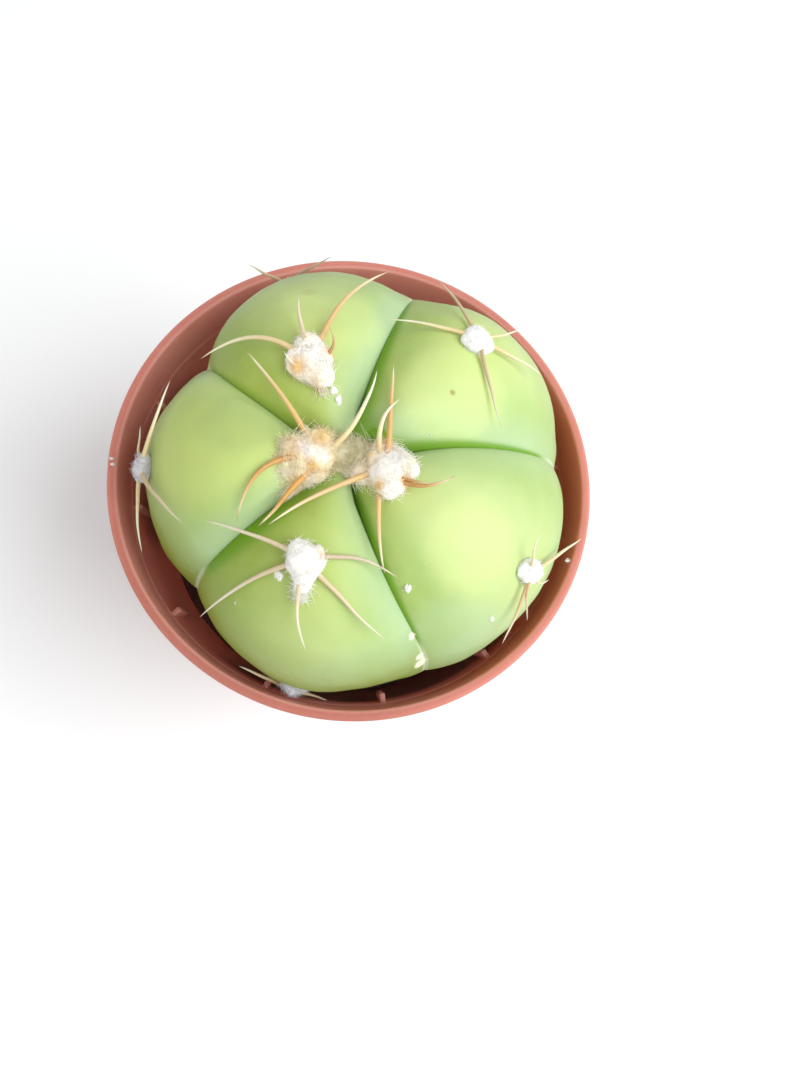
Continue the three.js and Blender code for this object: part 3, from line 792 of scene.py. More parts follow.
# %% The finish of the spines
horn = Finish(
    "horny_spines", Roughness=0.42, IOR=1.5, Subsurface_Weight=0.15,
    Subsurface_Scale=0.0005, Subsurface_Radius=(1.0, 0.8, 0.6),
)
along = horn.stored("along")
amber = horn.stored("amber")
streaks = horn.noise(0.5, detail=3)
straw = horn.mix(horn.fade(along, 0.2, 0.9), paint(220, 198, 142), paint(236, 231, 200))
warm = horn.mix(streaks, paint(202, 134, 46), paint(230, 176, 88))
belt = horn.fade(along, 0.0, 0.1) * (1 - horn.fade(along, 0.6, 1.0)) * 0.7 + 0.3
horn.colour = horn.mix(amber * belt, straw, warm)
horn.tint(horn.stored("brown") * (1 - horn.fade(along, 0.35, 1.0) * 0.6), 140, 74, 34)
horn.tint(horn.stored("grey") * 0.75, 192, 176, 152)
horn.tint((streaks - 0.45) * 0.5, 160, 104, 56)
horn.tint(horn.fade(along, 0.88, 1.0) * (amber * 0.6 + 0.2), 126, 76, 40)
horn.surface(Base_Color=horn.colour)
horn.bump(streaks, 0.03, 0.5)
print("the finish of the spines has", len(horn.tree.nodes), "nodes")

# %% Thickness and tones of the spines
SPINE_RADIUS = 0.27
SPINE_RADII = {"rib2_upper": 0.37, "rib3_upper": 0.4, "rib5_upper": 0.37, "rib4_upper": 0.3}
SHORT_SPINE = 6
SHORT_SPINE_SHARE = 0.75
OWN_THICKNESS = (0.9, 1.0)
SWELLING = 0.2
SWOLLEN_LENGTH = 0.9
SPINE_TAPER = 0.6
TIP_RADIUS = 0.012
WAVER = 0.07
WAVER_TURNS = (5, 9)
ANY_PHASE = (0, 6)
PLAIN_TONES = (0.15, 0.1, 0.2)
SPINE_TONES = {
    # for each spine: amber, brown, grey
    "rib1_upper": [(0.1, 0, 0), (0.1, 0.3, 0.4), (0, 0, 0.1), (0, 0, 0.1), (0.1, 0.45, 0.5)],
    "rib2_upper": [(0.2, 0, 0.1), (0.1, 0, 0.6), (0.5, 0.15, 0), (0.7, 0.7, 0), (0.1, 0, 0)],
    "rib2_lower": [(0.1, 0.6, 0.5), (0.1, 0.7, 0.5), (0, 0, 0), (0, 0, 0)],
    "rib3_upper": [(0.65, 0, 0), (0.9, 0.3, 0), (1, 0.1, 0), (0, 0, 0)],
    "rib3_lower": [(0, 0, 0.1), (0, 0, 0.2), (0, 0, 0), (0.2, 0.3, 0.5)],
    "rib4_upper": [(0, 0, 0.75), (0, 0.1, 0.7), (0, 0, 0.5), (0.1, 0.1, 0.55), (0, 0.35, 0.8)],
    "rib5_upper": [
        (0.75, 0.15, 0), (0.1, 0, 0), (0.55, 0.1, 0), (0.6, 0, 0), (0.9, 0.5, 0), (0.9, 0.45, 0),
    ],
    "rib5_lower": [(0.1, 0, 0), (0, 0, 0.1), (0.2, 0.2, 0), (0.2, 0.4, 0), (0.2, 0.3, 0)],
}
print("the thickest spines are", 2 * max(SPINE_RADII.values()), "mm across")


# %% The spines
def letter_sum(name):
    """A number that belongs to a name, so that its random piece comes out the same each time."""
    return sum(map(ord, name))


for name, areole in AREOLES.items():
    random = np.random.default_rng(letter_sum(name))
    share = np.linspace(0, 1, SPINE_STEPS)
    star = Shells()
    for number, spine in enumerate(areole["spines"]):
        path = spine_path(name, spine)
        length = spine[2]
        turns, phase = random.uniform(*WAVER_TURNS, 3), random.uniform(*ANY_PHASE, 3)
        waver = np.sin(share[:, None] * turns + phase)
        path += WAVER * waver * np.sin(np.pi * share)[:, None]
        thick = SPINE_RADII.get(name, SPINE_RADIUS) * random.uniform(*OWN_THICKNESS)
        if length < SHORT_SPINE:
            thick *= SHORT_SPINE_SHARE
        swollen = 1 + SWELLING * np.exp(-((share * length / SWOLLEN_LENGTH) ** 2))
        radii = np.maximum(TIP_RADIUS, thick * swollen * (1 - share) ** SPINE_TAPER)
        points, faces = tubes(path[None], radii[None], SPINE_SIDES)
        tones = SPINE_TONES[name][number] if name in SPINE_TONES else PLAIN_TONES
        tones = dict(zip(("amber", "brown", "grey"), tones))
        star.add(points, faces, along=np.repeat(share, SPINE_SIDES), **tones)
    make_piece("spine_star_" + name, star, horn, ["spines_" + name])

# %% [markdown]
# ## Wool
# Areole wool is a dense felt of fine, crinkled hairs. A smooth lump would look like wax, and
# loose hairs alone would look thin, so each tuft has both: a few soft lumps that overlap, and many
# hundred curled fibres that start in them. Most lie down, and some stand out and blur the edge.
# The fibres are real meshes, because hair particles would not leave Blender with the model. Five
# tufts have a shape that shows in the photo, so their lumps are listed one by one. The others have a
# number of lumps that are spread in a spiral.

# %% The lumps of a tuft
LUMPS = {
    # how many are spread, or lumps given one by one: down the rib, sideways, off the skin, half sizes
    "rib1_lower": 3,
    "rib2_upper": 6,
    "rib2_lower": 4,
    "rib3_lower": 4,
    "rib4_lower": 3,
    "crown": 6,
    "lint": 2,
    "rib1_upper": [
        (0.0, 0.0, 0.6, 1.65, 1.65, 1.0), (0.5, 0.4, 0.45, 1.3, 1.4, 0.9),
        (-0.5, 0.2, 0.5, 1.3, 1.3, 0.8), (0.1, -0.6, 0.45, 1.4, 1.2, 0.8),
    ],
    "rib5_lower": [
        (0.0, 0.0, 0.55, 1.5, 1.3, 0.95), (0.5, 0.3, 0.45, 1.2, 1.0, 0.8),
        (-0.5, -0.1, 0.45, 1.2, 1.1, 0.8), (0.2, -0.4, 0.4, 1.2, 0.9, 0.7),
    ],
    "rib3_upper": [
        (0.0, -0.3, 0.65, 2.0, 1.9, 1.1), (1.6, -0.5, 0.5, 1.5, 1.5, 0.9),
        (2.3, -1.5, 0.4, 1.1, 0.9, 0.7), (1.6, 1.2, 0.35, 1.2, 1.0, 0.75),
        (-0.3, -1.7, 0.5, 1.4, 1.1, 0.85), (0.0, 1.5, 0.45, 1.3, 1.1, 0.8),
        (3.0, 0.2, 0.2, 0.9, 0.9, 0.6),
    ],
    "rib4_upper": [
        (0.2, 0.0, 0.7, 1.8, 1.7, 1.2), (1.2, 0.4, 0.6, 1.3, 1.1, 1.0),
        (-0.5, -0.7, 0.6, 1.2, 1.2, 1.0), (-0.5, 0.7, 0.5, 1.1, 1.1, 0.9),
        (2.2, 0.4, 0.35, 1.1, 0.7, 0.6), (3.0, 0.6, 0.2, 0.9, 0.35, 0.35),
    ],
    "rib5_upper": [
        (0.6, -0.6, 1.0, 1.9, 1.8, 1.2), (1.8, 0.7, 0.8, 1.3, 1.3, 1.0),
        (1.5, -1.5, 0.7, 1.4, 1.6, 1.0), (-1.2, 1.7, 0.8, 1.2, 1.4, 0.9),
        (-1.8, -1.1, 0.5, 1.3, 1.4, 0.9), (-0.8, 0.4, 0.9, 1.5, 1.5, 1.0),
        (0.3, 1.7, 0.6, 1.3, 1.0, 0.8),
    ],
}
print("tufts with lumps placed by hand:", [name for name in LUMPS if isinstance(LUMPS[name], list)])

# %% Where the lumps lie
WOOL_SINK = 0.35
SPIRAL_STEP = 2.4
LUMP_SPREAD = 0.55
LUMP_DROOP = 0.3
LUMP_OFFSETS = (-0.1, 0.1)
LUMP_SIZES = (0.52, 0.68)
MIDDLE_LUMP = 0.76


def lump_places(name, size, seed):
    """Centres and half sizes of a tuft's lumps, in its own directions: down, side and off."""
    lumps = LUMPS[name]
    if isinstance(lumps, list):
        placed = np.array(lumps)
        return placed[:, :3], placed[:, 3:]
    random = np.random.default_rng(seed)
    half = np.array([size[0] / 2, size[1] / 2, size[2] * (1 - WOOL_SINK)])
    turn = SPIRAL_STEP * np.arange(lumps) + random.uniform(*ANY_PHASE)
    out = LUMP_SPREAD * np.sqrt(np.arange(lumps) / max(1, lumps - 1))
    offsets = random.uniform(*LUMP_OFFSETS, lumps)
    flat = np.stack([out * np.cos(turn), out * np.sin(turn), offsets], -1)
    flat[:, 2] += WOOL_SINK * size[2] / half[2] - out * LUMP_DROOP
    radius = random.uniform(*LUMP_SIZES, lumps)
    radius[0] = MIDDLE_LUMP
    return flat * half, radius[:, None] * half


def ball(detail):
    """Points and faces of a ball made of small triangles."""
    made = bmesh.new()
    bmesh.ops.create_icosphere(made, subdivisions=detail, radius=1.0)
    points = np.array([vertex.co for vertex in made.verts])
    faces = [tuple(vertex.index for vertex in face.verts) for face in made.faces]
    made.free()
    return points, faces


BALL_POINTS, BALL_FACES = ball(4)
print("a lump of wool has", len(BALL_POINTS), "points")


# %% The fibres of a tuft
FIBRE_STEPS = 4
FIBRE_RADIUS = 0.03
FIBRE_SEAT = 0.93
FIBRE_LENGTHS = (0.4, 1.25)
FIBRE_TAPER = 0.65
LOWEST = 0.3
OUTWARD_REACH = 1.2
LOCKS = 26
LOCK_SPREAD = 0.16
LOCK_FORM = [1, 1, 0.6]
LOCK_RISE = [0, 0, 0.3]
OWN_WANDER, LOCK_WANDER = 0.3, 0.5
WANDER = (0.7, 1.0)  # for a loose fibre and for one that lies down
RISE = (0.8, 0.3)
CURL = 0.6
LIE_DOWN = 0.34
CRINKLE = 0.08
CRINKLE_TURNS = (4, 11)
FIBRE_SEEDS = 7


def felt_fibres(point, directions, centres, halves, seed, count, length_mm, loose):
    """Curled fibres that start in the lumps. A share of them stand loose, the rest lie down."""
    random = np.random.default_rng(seed + FIBRE_SEEDS)
    lump = random.integers(0, len(centres), count)
    local = random.normal(size=(count, 3))
    local[:, 2] = np.abs(local[:, 2]) - LOWEST
    stands = (random.random(count) < loose)[:, None]
    locks = unit(random.normal(size=(LOCKS, 3)) * LOCK_FORM + LOCK_RISE)
    lock = locks[random.integers(0, LOCKS, count)]
    local = unit(np.where(stands, lock + LOCK_SPREAD * local, local))
    start = point + (centres[lump] + local * halves[lump] * FIBRE_SEAT) @ directions
    outward = unit((centres[lump] + local * halves[lump] * OUTWARD_REACH) @ directions)
    wander = random.normal(size=(count, 3))
    wander = unit(wander - outward * (wander * outward).sum(-1, keepdims=True))
    wander = np.where(stands, OWN_WANDER * wander + LOCK_WANDER * lock[:, [1, 2, 0]], wander)
    heading = wander * np.where(stands, *WANDER) + outward * np.where(stands, *RISE)
    curl = np.cross(outward, wander) * random.normal(0, CURL, (count, 1)) - outward * LIE_DOWN
    reach = length_mm * random.uniform(*FIBRE_LENGTHS, (count, 1, 1))
    share = np.linspace(0, 1, FIBRE_STEPS)[None, :, None]
    phase = random.uniform(*ANY_PHASE, (count, 1, 1))
    crinkle = np.sin(share * random.uniform(*CRINKLE_TURNS, (count, 1, 1)) + phase)
    paths = start[:, None] + reach * (share * heading[:, None] + share**2 * curl[:, None])
    paths += CRINKLE * crinkle * np.cross(heading, outward)[:, None] * share
    radii = FIBRE_RADIUS * (1 - FIBRE_TAPER * share[..., 0]) * np.ones((count, 1))
    return *tubes(paths, radii, 3), np.repeat(random.random(count), FIBRE_STEPS * 3)


print("a fibre has", FIBRE_STEPS, "steps")

# %% Felted lumps with their fibres
LUMP_OWN_TONE = 0.5
LUMP_HIGH, LUMP_WIDE = (0.1, 0.04), (1.2, 0.45)


def felt(name, place, size, seed, count, length_mm, loose):
    """The lumps of a tuft and its fibres, each as points, faces and a tone of their own."""
    point, off, down, side = place
    directions = np.array([down, side, off])
    centres, halves = lump_places(name, size, seed)
    shells = []
    for centre, half in zip(centres, halves):
        points = point + (centre + BALL_POINTS * half) @ directions
        bumps = relief(points, zip(LUMP_HIGH, LUMP_WIDE, (seed, seed + 1)))
        outward = unit(points - (point + centre @ directions))
        shells.append((points + outward * bumps[:, None], BALL_FACES, LUMP_OWN_TONE))
    shells.append(felt_fibres(point, directions, centres, halves, seed, count, length_mm, loose))
    return shells


print("lumps and fibres make felt")

# %% Combed-out wisps
WISP_STEPS = 7
WISP_SPREAD = 0.16
WISP_BEND = 0.5
WISP_LENGTHS = (0.45, 1.1)
WISP_WAVER = 0.07
WISP_TURNS = 9
WISP_LIFT = 0.7
LIFT_SHARES = (0.6, 1.2)
HAIR_ROOM = 0.12
HAIR_TAPER = (1.1, 0.5)
WISP_OWN_TONE = 0.1


def wisp(place, turn, start_mm, length_mm, count, seed):
    """A thin lock of hairs that has been combed out over the skin."""
    random = np.random.default_rng(seed)
    point, off, down, side = place
    share = np.linspace(0, 1, WISP_STEPS)[:, None]
    paths = []
    for _ in range(count):
        bearing = math.radians(turn) + random.normal(0, WISP_SPREAD)
        along = down * math.cos(bearing) + side * math.sin(bearing)
        bend = np.cross(off, along) * random.normal(0, WISP_BEND)
        reach = length_mm * random.uniform(*WISP_LENGTHS)
        path = point + along * (start_mm + reach * share) + bend * share**2
        waver = np.sin(share * WISP_TURNS + random.uniform(*ANY_PHASE))
        path += WISP_WAVER * waver * np.cross(off, along)
        height = WISP_LIFT * (1 - share[:, 0]) * random.uniform(*LIFT_SHARES) + HAIR_ROOM
        paths.append([cleared(stop, room) for stop, room in zip(path, height)])
    radii = FIBRE_RADIUS * np.linspace(*HAIR_TAPER, WISP_STEPS) * np.ones((count, 1))
    return *tubes(np.array(paths), radii, 3), WISP_OWN_TONE


print("a wisp's hairs have", WISP_STEPS, "steps")

# %% [markdown]
# White when young, wool takes up stains: amber from the spines, cream where it is packed, and
# grey dust when it is old. The tones are worked out for each point from soft waves, from a share
# that each tuft is given, and from a few stained spots. Light goes round inside real wool many
# times, so a weak glow in its own colour stands in for that. Two low tufts sit in the shade of the
# pot and are greyer.

# %% The wool's finish
wool = Finish(
    "areole_wool", Roughness=0.95, Sheen_Weight=0.2, Sheen_Roughness=0.6, Subsurface_Weight=0.35,
    Subsurface_Scale=0.0005, Subsurface_Radius=(1.0, 0.95, 0.9), Emission_Strength=0.12,
)
SHADED_TUFTS = [
    # middle, reach, raggedness, share and colour
    (areole_frame("rib3_lower")[0], 4, 0.2, 0.65, (146, 140, 144)),
    (areole_frame("rib4_lower")[0], 4, 0.2, 0.65, (172, 178, 192)),
]
fluff = wool.noise(0.35, detail=4, roughness=0.7)
wool.colour = wool.mix(wool.stored("cream"), paint(252, 250, 248), paint(246, 228, 146))
wool.tint(wool.stored("stain"), 232, 178, 70)
wool.tint(wool.stored("dust"), 186, 176, 128)
wool.tint((fluff - 0.5) * 0.9, 184, 164, 104)
wool.tint((wool.stored("own") - 0.5) * 0.4, 196, 176, 112)
wool.tint_places(SHADED_TUFTS)
wool.surface(Base_Color=wool.colour, Emission_Color=wool.colour)
wool.bump(fluff, 0.16, 0.9)
print("the finish of the wool has", len(wool.tree.nodes), "nodes")

# %% Fibres, stains and wisps of each tuft
TUFTS = {
    # fibres, their length, and the shares of cream, stain and dust
    "rib1_upper": (900, 0.7, 0.0, 0.0, 0.02),
    "rib1_lower": (350, 0.7, 0.1, 0.1, 0.4),
    "rib2_upper": (1800, 1.0, 0.12, 0.05, 0.0),
    "rib2_lower": (400, 0.8, 0.1, 0.1, 0.3),
    "rib3_upper": (2400, 1.6, 0.5, 0.15, 0.0),
    "rib3_lower": (600, 0.8, 0.0, 0.0, 0.05),
    "rib4_upper": (1300, 0.8, 0.03, 0.03, 0.08),
    "rib4_lower": (350, 0.8, 0.0, 0.0, 0.25),
    "rib5_upper": (2300, 1.2, 0.12, 0.05, 0.0),
    "rib5_lower": (500, 0.7, 0.0, 0.0, 0.02),
    "crown": (1900, 1.4, 0.5, 0.1, 0.75),
}
LOOSE_SHARE = 0.14
SHAGGY = {"rib3_upper": 0.3}
TONE_WAVE = 2.4
SPOTS = {
    # tone, down the rib, sideways, reach and strength; a strength under 0 whitens, and in the middle of
    # rib3_upper that whitening is partly a painted highlight
    "rib2_upper": [
        ("stain", 0.1, 1.6, 0.9, 0.9), ("stain", 0.4, -2.3, 0.8, 0.8), ("stain", -2.4, 0.7, 0.9, 0.5),
    ],
    "rib3_upper": [
        ("stain", -0.4, -1.7, 1.3, 0.6), ("stain", 1.0, 0.4, 0.7, 1.0), ("stain", -1.7, 0.3, 0.9, 0.5),
        ("stain", 2.8, -1.8, 0.8, 0.4), ("cream", 0.0, -0.4, 1.2, -0.3),
        ("stain", 0.0, -0.3, 1.0, -0.45), ("cream", 1.9, -1.3, 0.7, -0.8),
    ],
    "rib5_upper": [
        ("stain", -1.9, -1.4, 1.4, 0.4), ("dust", -2.0, -0.9, 1.1, 0.5),
        ("stain", -1.4, 2.4, 1.0, 0.45), ("stain", 2.8, -0.9, 0.5, 1.0), ("stain", 0.7, -2.5, 0.5, 1.0),
        ("stain", -1.7, 0.3, 0.6, 0.6), ("stain", -0.9, 3.0, 0.5, 0.8),
    ],
    "rib4_upper": [("stain", -1.0, 1.4, 0.6, 0.5)],
}
WISPS = {
    # bearing, start, length and number of hairs
    "rib3_upper": [
        (26, 2.4, 3.0, 60), (50, 2.4, 3.2, 80), (4, 2.8, 2.0, 50), (-16, 2.6, 1.8, 50),
        (60, 1.8, 2.0, 40), (84, 1.6, 1.6, 30), (-92, 1.8, 1.6, 30),
    ],
    "rib4_upper": [(12, 2.0, 2.2, 50)],
    "rib2_upper": [(180, 2.0, 1.6, 40), (20, 1.8, 0.9, 20)],
    "rib5_upper": [(60, 2.2, 0.9, 30), (-60, 2.2, 0.9, 30)],
    "crown": [(-60, 1.2, 2.2, 50), (120, 1.2, 2.0, 40)],
}
print(len(TUFTS), "tufts with", sum(row[0] for row in TUFTS.values()), "fibres")

# %% The tufts
WOOL_SEED, WISP_SEEDS, TONE_SEEDS = 40, 20, 10
LEAST_SWING, MORE_SWING = 0.1, 0.7
CROWN_PAD = (4.2, 6.6, 1.6)
CROWN_PLACE = (CROWN_POINT, *np.array([[0.0, 0, 1], [0, 1, 0], [-1, 0, 0]]))


def tuft(name, seed, shells):
    """Adds one tuft to the shells of a piece."""
    count, length_mm, *shares = TUFTS[name]
    place = CROWN_PLACE if name == "crown" else areole_frame(name)
    size = CROWN_PAD if name == "crown" else AREOLES[name]["pad"]
    loose = SHAGGY.get(name, LOOSE_SHARE)
    made = felt(name, place, size, seed, count, length_mm, loose)
    for number, lock in enumerate(WISPS.get(name, [])):
        made.append(wisp(place, *lock, seed + WISP_SEEDS + number))
    point, _, down, side = place
    for points, faces, own in made:
        tones = {}
        for number, (tone, middle) in enumerate(zip(("cream", "stain", "dust"), shares)):
            waves = soft_waves(points, TONE_WAVE, seed + TONE_SEEDS * number)
            tones[tone] = middle + (LEAST_SWING + MORE_SWING * (1 - middle)) * middle * waves
        for tone, down_mm, side_mm, reach, strength in SPOTS.get(name, []):
            level = (points - point) @ np.stack([down, side], -1) - [down_mm, side_mm]
            away = np.linalg.norm(level, axis=-1) / reach
            tones[tone] = tones[tone] + strength * np.exp(-(away**2))
        tones = {tone: np.clip(values, 0, 1) for tone, values in tones.items()}
        shells.add(points, faces, own=own, **tones)


CROWN_TUFTS = ["crown", "rib3_upper", "rib5_upper"]
crown_wool = Shells()
for name in CROWN_TUFTS:
    tuft(name, WOOL_SEED + letter_sum(name), crown_wool)
make_piece("felt_crown", crown_wool, wool, ["wool_crown"])
for name in AREOLES:
    if name not in CROWN_TUFTS:
        pad_wool = Shells()
        tuft(name, WOOL_SEED + letter_sum(name), pad_wool)
        make_piece("felt_" + name, pad_wool, wool, ["wool_" + name])

# %% [markdown]
# ## Lint on the skin and rim
# A few crumbs of wool have come loose and lie on the ribs and on the pot's rim. They are tiny
# flattened tufts, seated on the skin by the same formula.

# %% Loose lint
SKIN_LINT = [
    # degrees round, degrees down, length, width, height
    (105.5, 12.0, 1.0, 0.8, 0.9), (103.5, 10.4, 1.2, 0.75, 0.9), (290.8, 37.8, 1.1, 0.65, 0.35),
    (232.0, 55.1, 0.7, 0.35, 0.35), (241.7, 35.4, 1.3, 1.0, 0.35), (308.4, 64.0, 0.3, 0.2, 0.35),
    (15.6, 18.3, 0.3, 0.2, 0.35),
]
RIM_LINT = [((-27.0, 0.5, 48.0), 0.5), ((-26.8, -0.1, 48.0), 0.45), ((24.3, -9.35, 47.5), 0.75)]
RIM_LINT_WIDTH = 0.6
RIM_LINT_HEIGHT = 0.3
LINT_SEED = 70
LINT_FIBRES = 50
LINT_FIBRE_LENGTH = 0.3
LINT_LOOSE = 0.3
LINT_TURN = (1.0, -0.25, 0.1)
lint_places = []
for azimuth, polar, length, width, height in SKIN_LINT:
    azimuth, polar = math.radians(azimuth), math.radians(polar)
    off = skin_normal(azimuth, polar)
    down = unit(np.cross(off, LINT_TURN))
    place = (skin(azimuth, polar), off, down, np.cross(off, down))
    lint_places.append((place, (length, width, height)))
for place, length in RIM_LINT:
    upward = (np.array(place), *np.array([[0.0, 0, 1], [1, 0, 0], [0, 1, 0]]))
    lint_places.append((upward, (length, length * RIM_LINT_WIDTH, RIM_LINT_HEIGHT)))
lint = Shells()
for seed, (place, size) in enumerate(lint_places, LINT_SEED):
    fibre_length = LINT_FIBRE_LENGTH * size[0]
    for points, faces, own in felt("lint", place, size, seed, LINT_FIBRES, fibre_length, LINT_LOOSE):
        lint.add(points, faces, own=own, cream=0.05, stain=0.0, dust=0.02)
make_piece("lint", lint, wool)

# %% [markdown]
# ## The pot
# A nursery pot is moulded in thin plastic: a tapered wall, an upright collar whose inner face ends
# in a small ledge, twelve fins under the ledge that stop stacked pots from jamming, and a floor
# with drain holes on a foot ring. All but the fins and holes is a profile turned round an axis.
# Its corners are rounded first, because moulded plastic has no sharp edge and the round catches
# the light.

# %% A rounded profile
ARC_STEPS = 5
ARC_ROOM = 0.45  # the share of an edge that the arc at one end may take


def rounded(corners):
    """A profile of (radius, height, rounding) corners, with each corner turned into an arc."""
    places = np.array([corner[:2] for corner in corners])
    made = [places[0]]
    for before, here, after, corner in zip(places, places[1:], places[2:], corners[1:]):
        to_before, to_after = unit(before - here), unit(after - here)
        bend = math.acos(np.clip(to_before @ to_after, -1, 1))
        room = ARC_ROOM * min(np.linalg.norm(before - here), np.linalg.norm(after - here))
        back = min(corner[2] / max(math.tan(bend / 2), 1e-6), room)
        first, last = here + to_before * back, here + to_after * back
        for share in np.linspace(0, 1, ARC_STEPS):
            made.append((1 - share) ** 2 * first + 2 * share * (1 - share) * here + share**2 * last)
    made.append(places[-1])
    return np.array(made)


print("a corner becomes", len(rounded([(0, 0, 0), (1, 0, 0.2), (1, 1, 0)])) - 2, "points")


# %% A profile turned round an axis
def lathe(profile, sides):
    """A profile that starts under the object and ends on top, both on the axis, turned round."""
    turn = 2 * np.pi * np.arange(sides) / sides
    radius, height = profile[1:-1, :1], profile[1:-1, 1:]
    rings = np.stack([radius * np.cos(turn), radius * np.sin(turn), height + 0 * turn], -1)
    ends = [[0, 0, profile[0, 1]], [0, 0, profile[-1, 1]]]
    points = np.concatenate([rings.reshape(-1, 3), ends])
    bottom, top = len(points) - 2, len(points) - 1
    faces = [face[::-1] for face in grid_faces(len(rings), sides)]
    faces += fan_faces(bottom, 0, sides, outward=False)
    faces += fan_faces(top, (len(rings) - 1) * sides, sides)
    return points, faces


print("a cylinder of 8 sides has", len(lathe(np.array([[0, 0], [1, 0], [1, 1], [0, 1]]), 8)[1]), "faces")

# %% The pot's shell
COLLAR_FOOT = RIM_HEIGHT - 6
WALL = 0.9
FLOOR_TOP = 2.6
FOOT_RING_INSIDE = 17.1
FOOT_RING_DEPTH = 1.4
FOOT_RADIUS = 19.5
COLLAR_RADIUS = 27.0
RIM_RADIUS = 27.48
ROUND = 0.3
POT_SIDES = 256
UNDER_LEDGE = LEDGE_HEIGHT - 0.3
pot_corners = [
    # radius, height and rounding, from the middle of the underside round to the floor inside
    (0, FOOT_RING_DEPTH, 0),
    (FOOT_RING_INSIDE, FOOT_RING_DEPTH, 0.2),
    (FOOT_RING_INSIDE + 0.3, 0, 0.2),
    (FOOT_RADIUS - 0.3, 0, ROUND),
    (FOOT_RADIUS, 0.3, 0.2),
    (wall_radius(COLLAR_FOOT) + WALL, COLLAR_FOOT, ROUND),
    (COLLAR_RADIUS, COLLAR_FOOT, ROUND),
    (RIM_RADIUS, RIM_HEIGHT, 0.45),
    (COLLAR_INSIDE, RIM_HEIGHT, ROUND),
    (wall_radius(LEDGE_HEIGHT), LEDGE_HEIGHT, ROUND),
    (wall_radius(UNDER_LEDGE), UNDER_LEDGE, ROUND),
    (wall_radius(FLOOR_TOP), FLOOR_TOP, 0.4),
    (0, FLOOR_TOP, 0),
]
pot_profile = rounded(pot_corners)
pot = bare_mesh("pot_shell", *lathe(pot_profile, POT_SIDES))
print("the pot's profile has", len(pot_profile), "points")


# %% Joining and cutting
def joined(piece, tools, operation):
    """Joins or cuts a mesh with the tools that were gathered, and removes them."""
    tool = bare_mesh("tool", [], [])
    tools.to_mesh(tool.data)
    tools.free()
    modifier = piece.modifiers.new(operation, "BOOLEAN")
    modifier.operation = operation
    modifier.solver = "MANIFOLD"
    modifier.object = tool
    bpy.context.view_layer.update()
    result = piece.evaluated_get(bpy.context.evaluated_depsgraph_get())
    mesh = bpy.data.meshes.new_from_object(result)
    piece.modifiers.clear()
    piece.data = mesh
    bpy.data.objects.remove(tool)


print("meshes are joined and cut by booleans")

# %% The fins
FIN_COUNT = 12
FIN_FIRST = 8.1
FIN_SIZE = (1.4, 0.6, 4.0)
FIN_ROOT = 0.4
FIN_BEVEL = 0.12
FIN_MIDDLE = LEDGE_HEIGHT - 0.2 - FIN_SIZE[2] / 2
fins = bmesh.new()
lean = math.atan(wall_radius(FIN_MIDDLE) - wall_radius(FIN_MIDDLE - 1))
fin_out = wall_radius(FIN_MIDDLE) + FIN_ROOT - FIN_SIZE[0] / 2
for number in range(FIN_COUNT):
    fin = bmesh.ops.create_cube(fins, size=MM)["verts"]
    fin_edges = list({edge for vertex in fin for edge in vertex.link_edges})
    bmesh.ops.scale(fins, vec=FIN_SIZE, verts=fin)
    bevel = bmesh.ops.bevel(
        fins, geom=fin_edges, offset=FIN_BEVEL * MM, segments=2, affect="EDGES", profile=0.5
    )
    fin = list({vertex for face in bevel["faces"] for vertex in face.verts})
    turned = Matrix.Rotation(math.radians(FIN_FIRST + 360 / FIN_COUNT * number), 4, "Z")
    moved = Matrix.Translation((fin_out * MM, 0, FIN_MIDDLE * MM))
    tilted = Matrix.Rotation(lean, 4, "Y")
    bmesh.ops.transform(fins, matrix=turned @ moved @ tilted, verts=fin)
joined(pot, fins, "UNION")
print("fins reach in by", round(FIN_SIZE[0] - FIN_ROOT, 2), "mm")

# %% The drain holes
HOLE_RADIUS = 2.1
HOLE_CIRCLE = 11.5
OUTER_HOLES = 6
HOLE_LENGTH = 4
POT_SHARP_FROM = math.radians(38)
drill = {"cap_ends": True, "segments": 48, "depth": HOLE_LENGTH * MM}
drill |= {"radius1": HOLE_RADIUS * MM, "radius2": HOLE_RADIUS * MM}
holes = bmesh.new()
for number in range(OUTER_HOLES + 1):
    out = 0 if number == OUTER_HOLES else HOLE_CIRCLE
    angle = math.radians(360 / OUTER_HOLES * number)
    place = [out * math.cos(angle) * MM, out * math.sin(angle) * MM, HOLE_LENGTH / 2 * MM]
    bmesh.ops.create_cone(holes, matrix=Matrix.Translation(place), **drill)
joined(pot, holes, "DIFFERENCE")
pot.data.shade_smooth()
pot.data.set_sharp_from_angle(angle=POT_SHARP_FROM)
print("the pot has", len(pot.data.polygons), "faces")
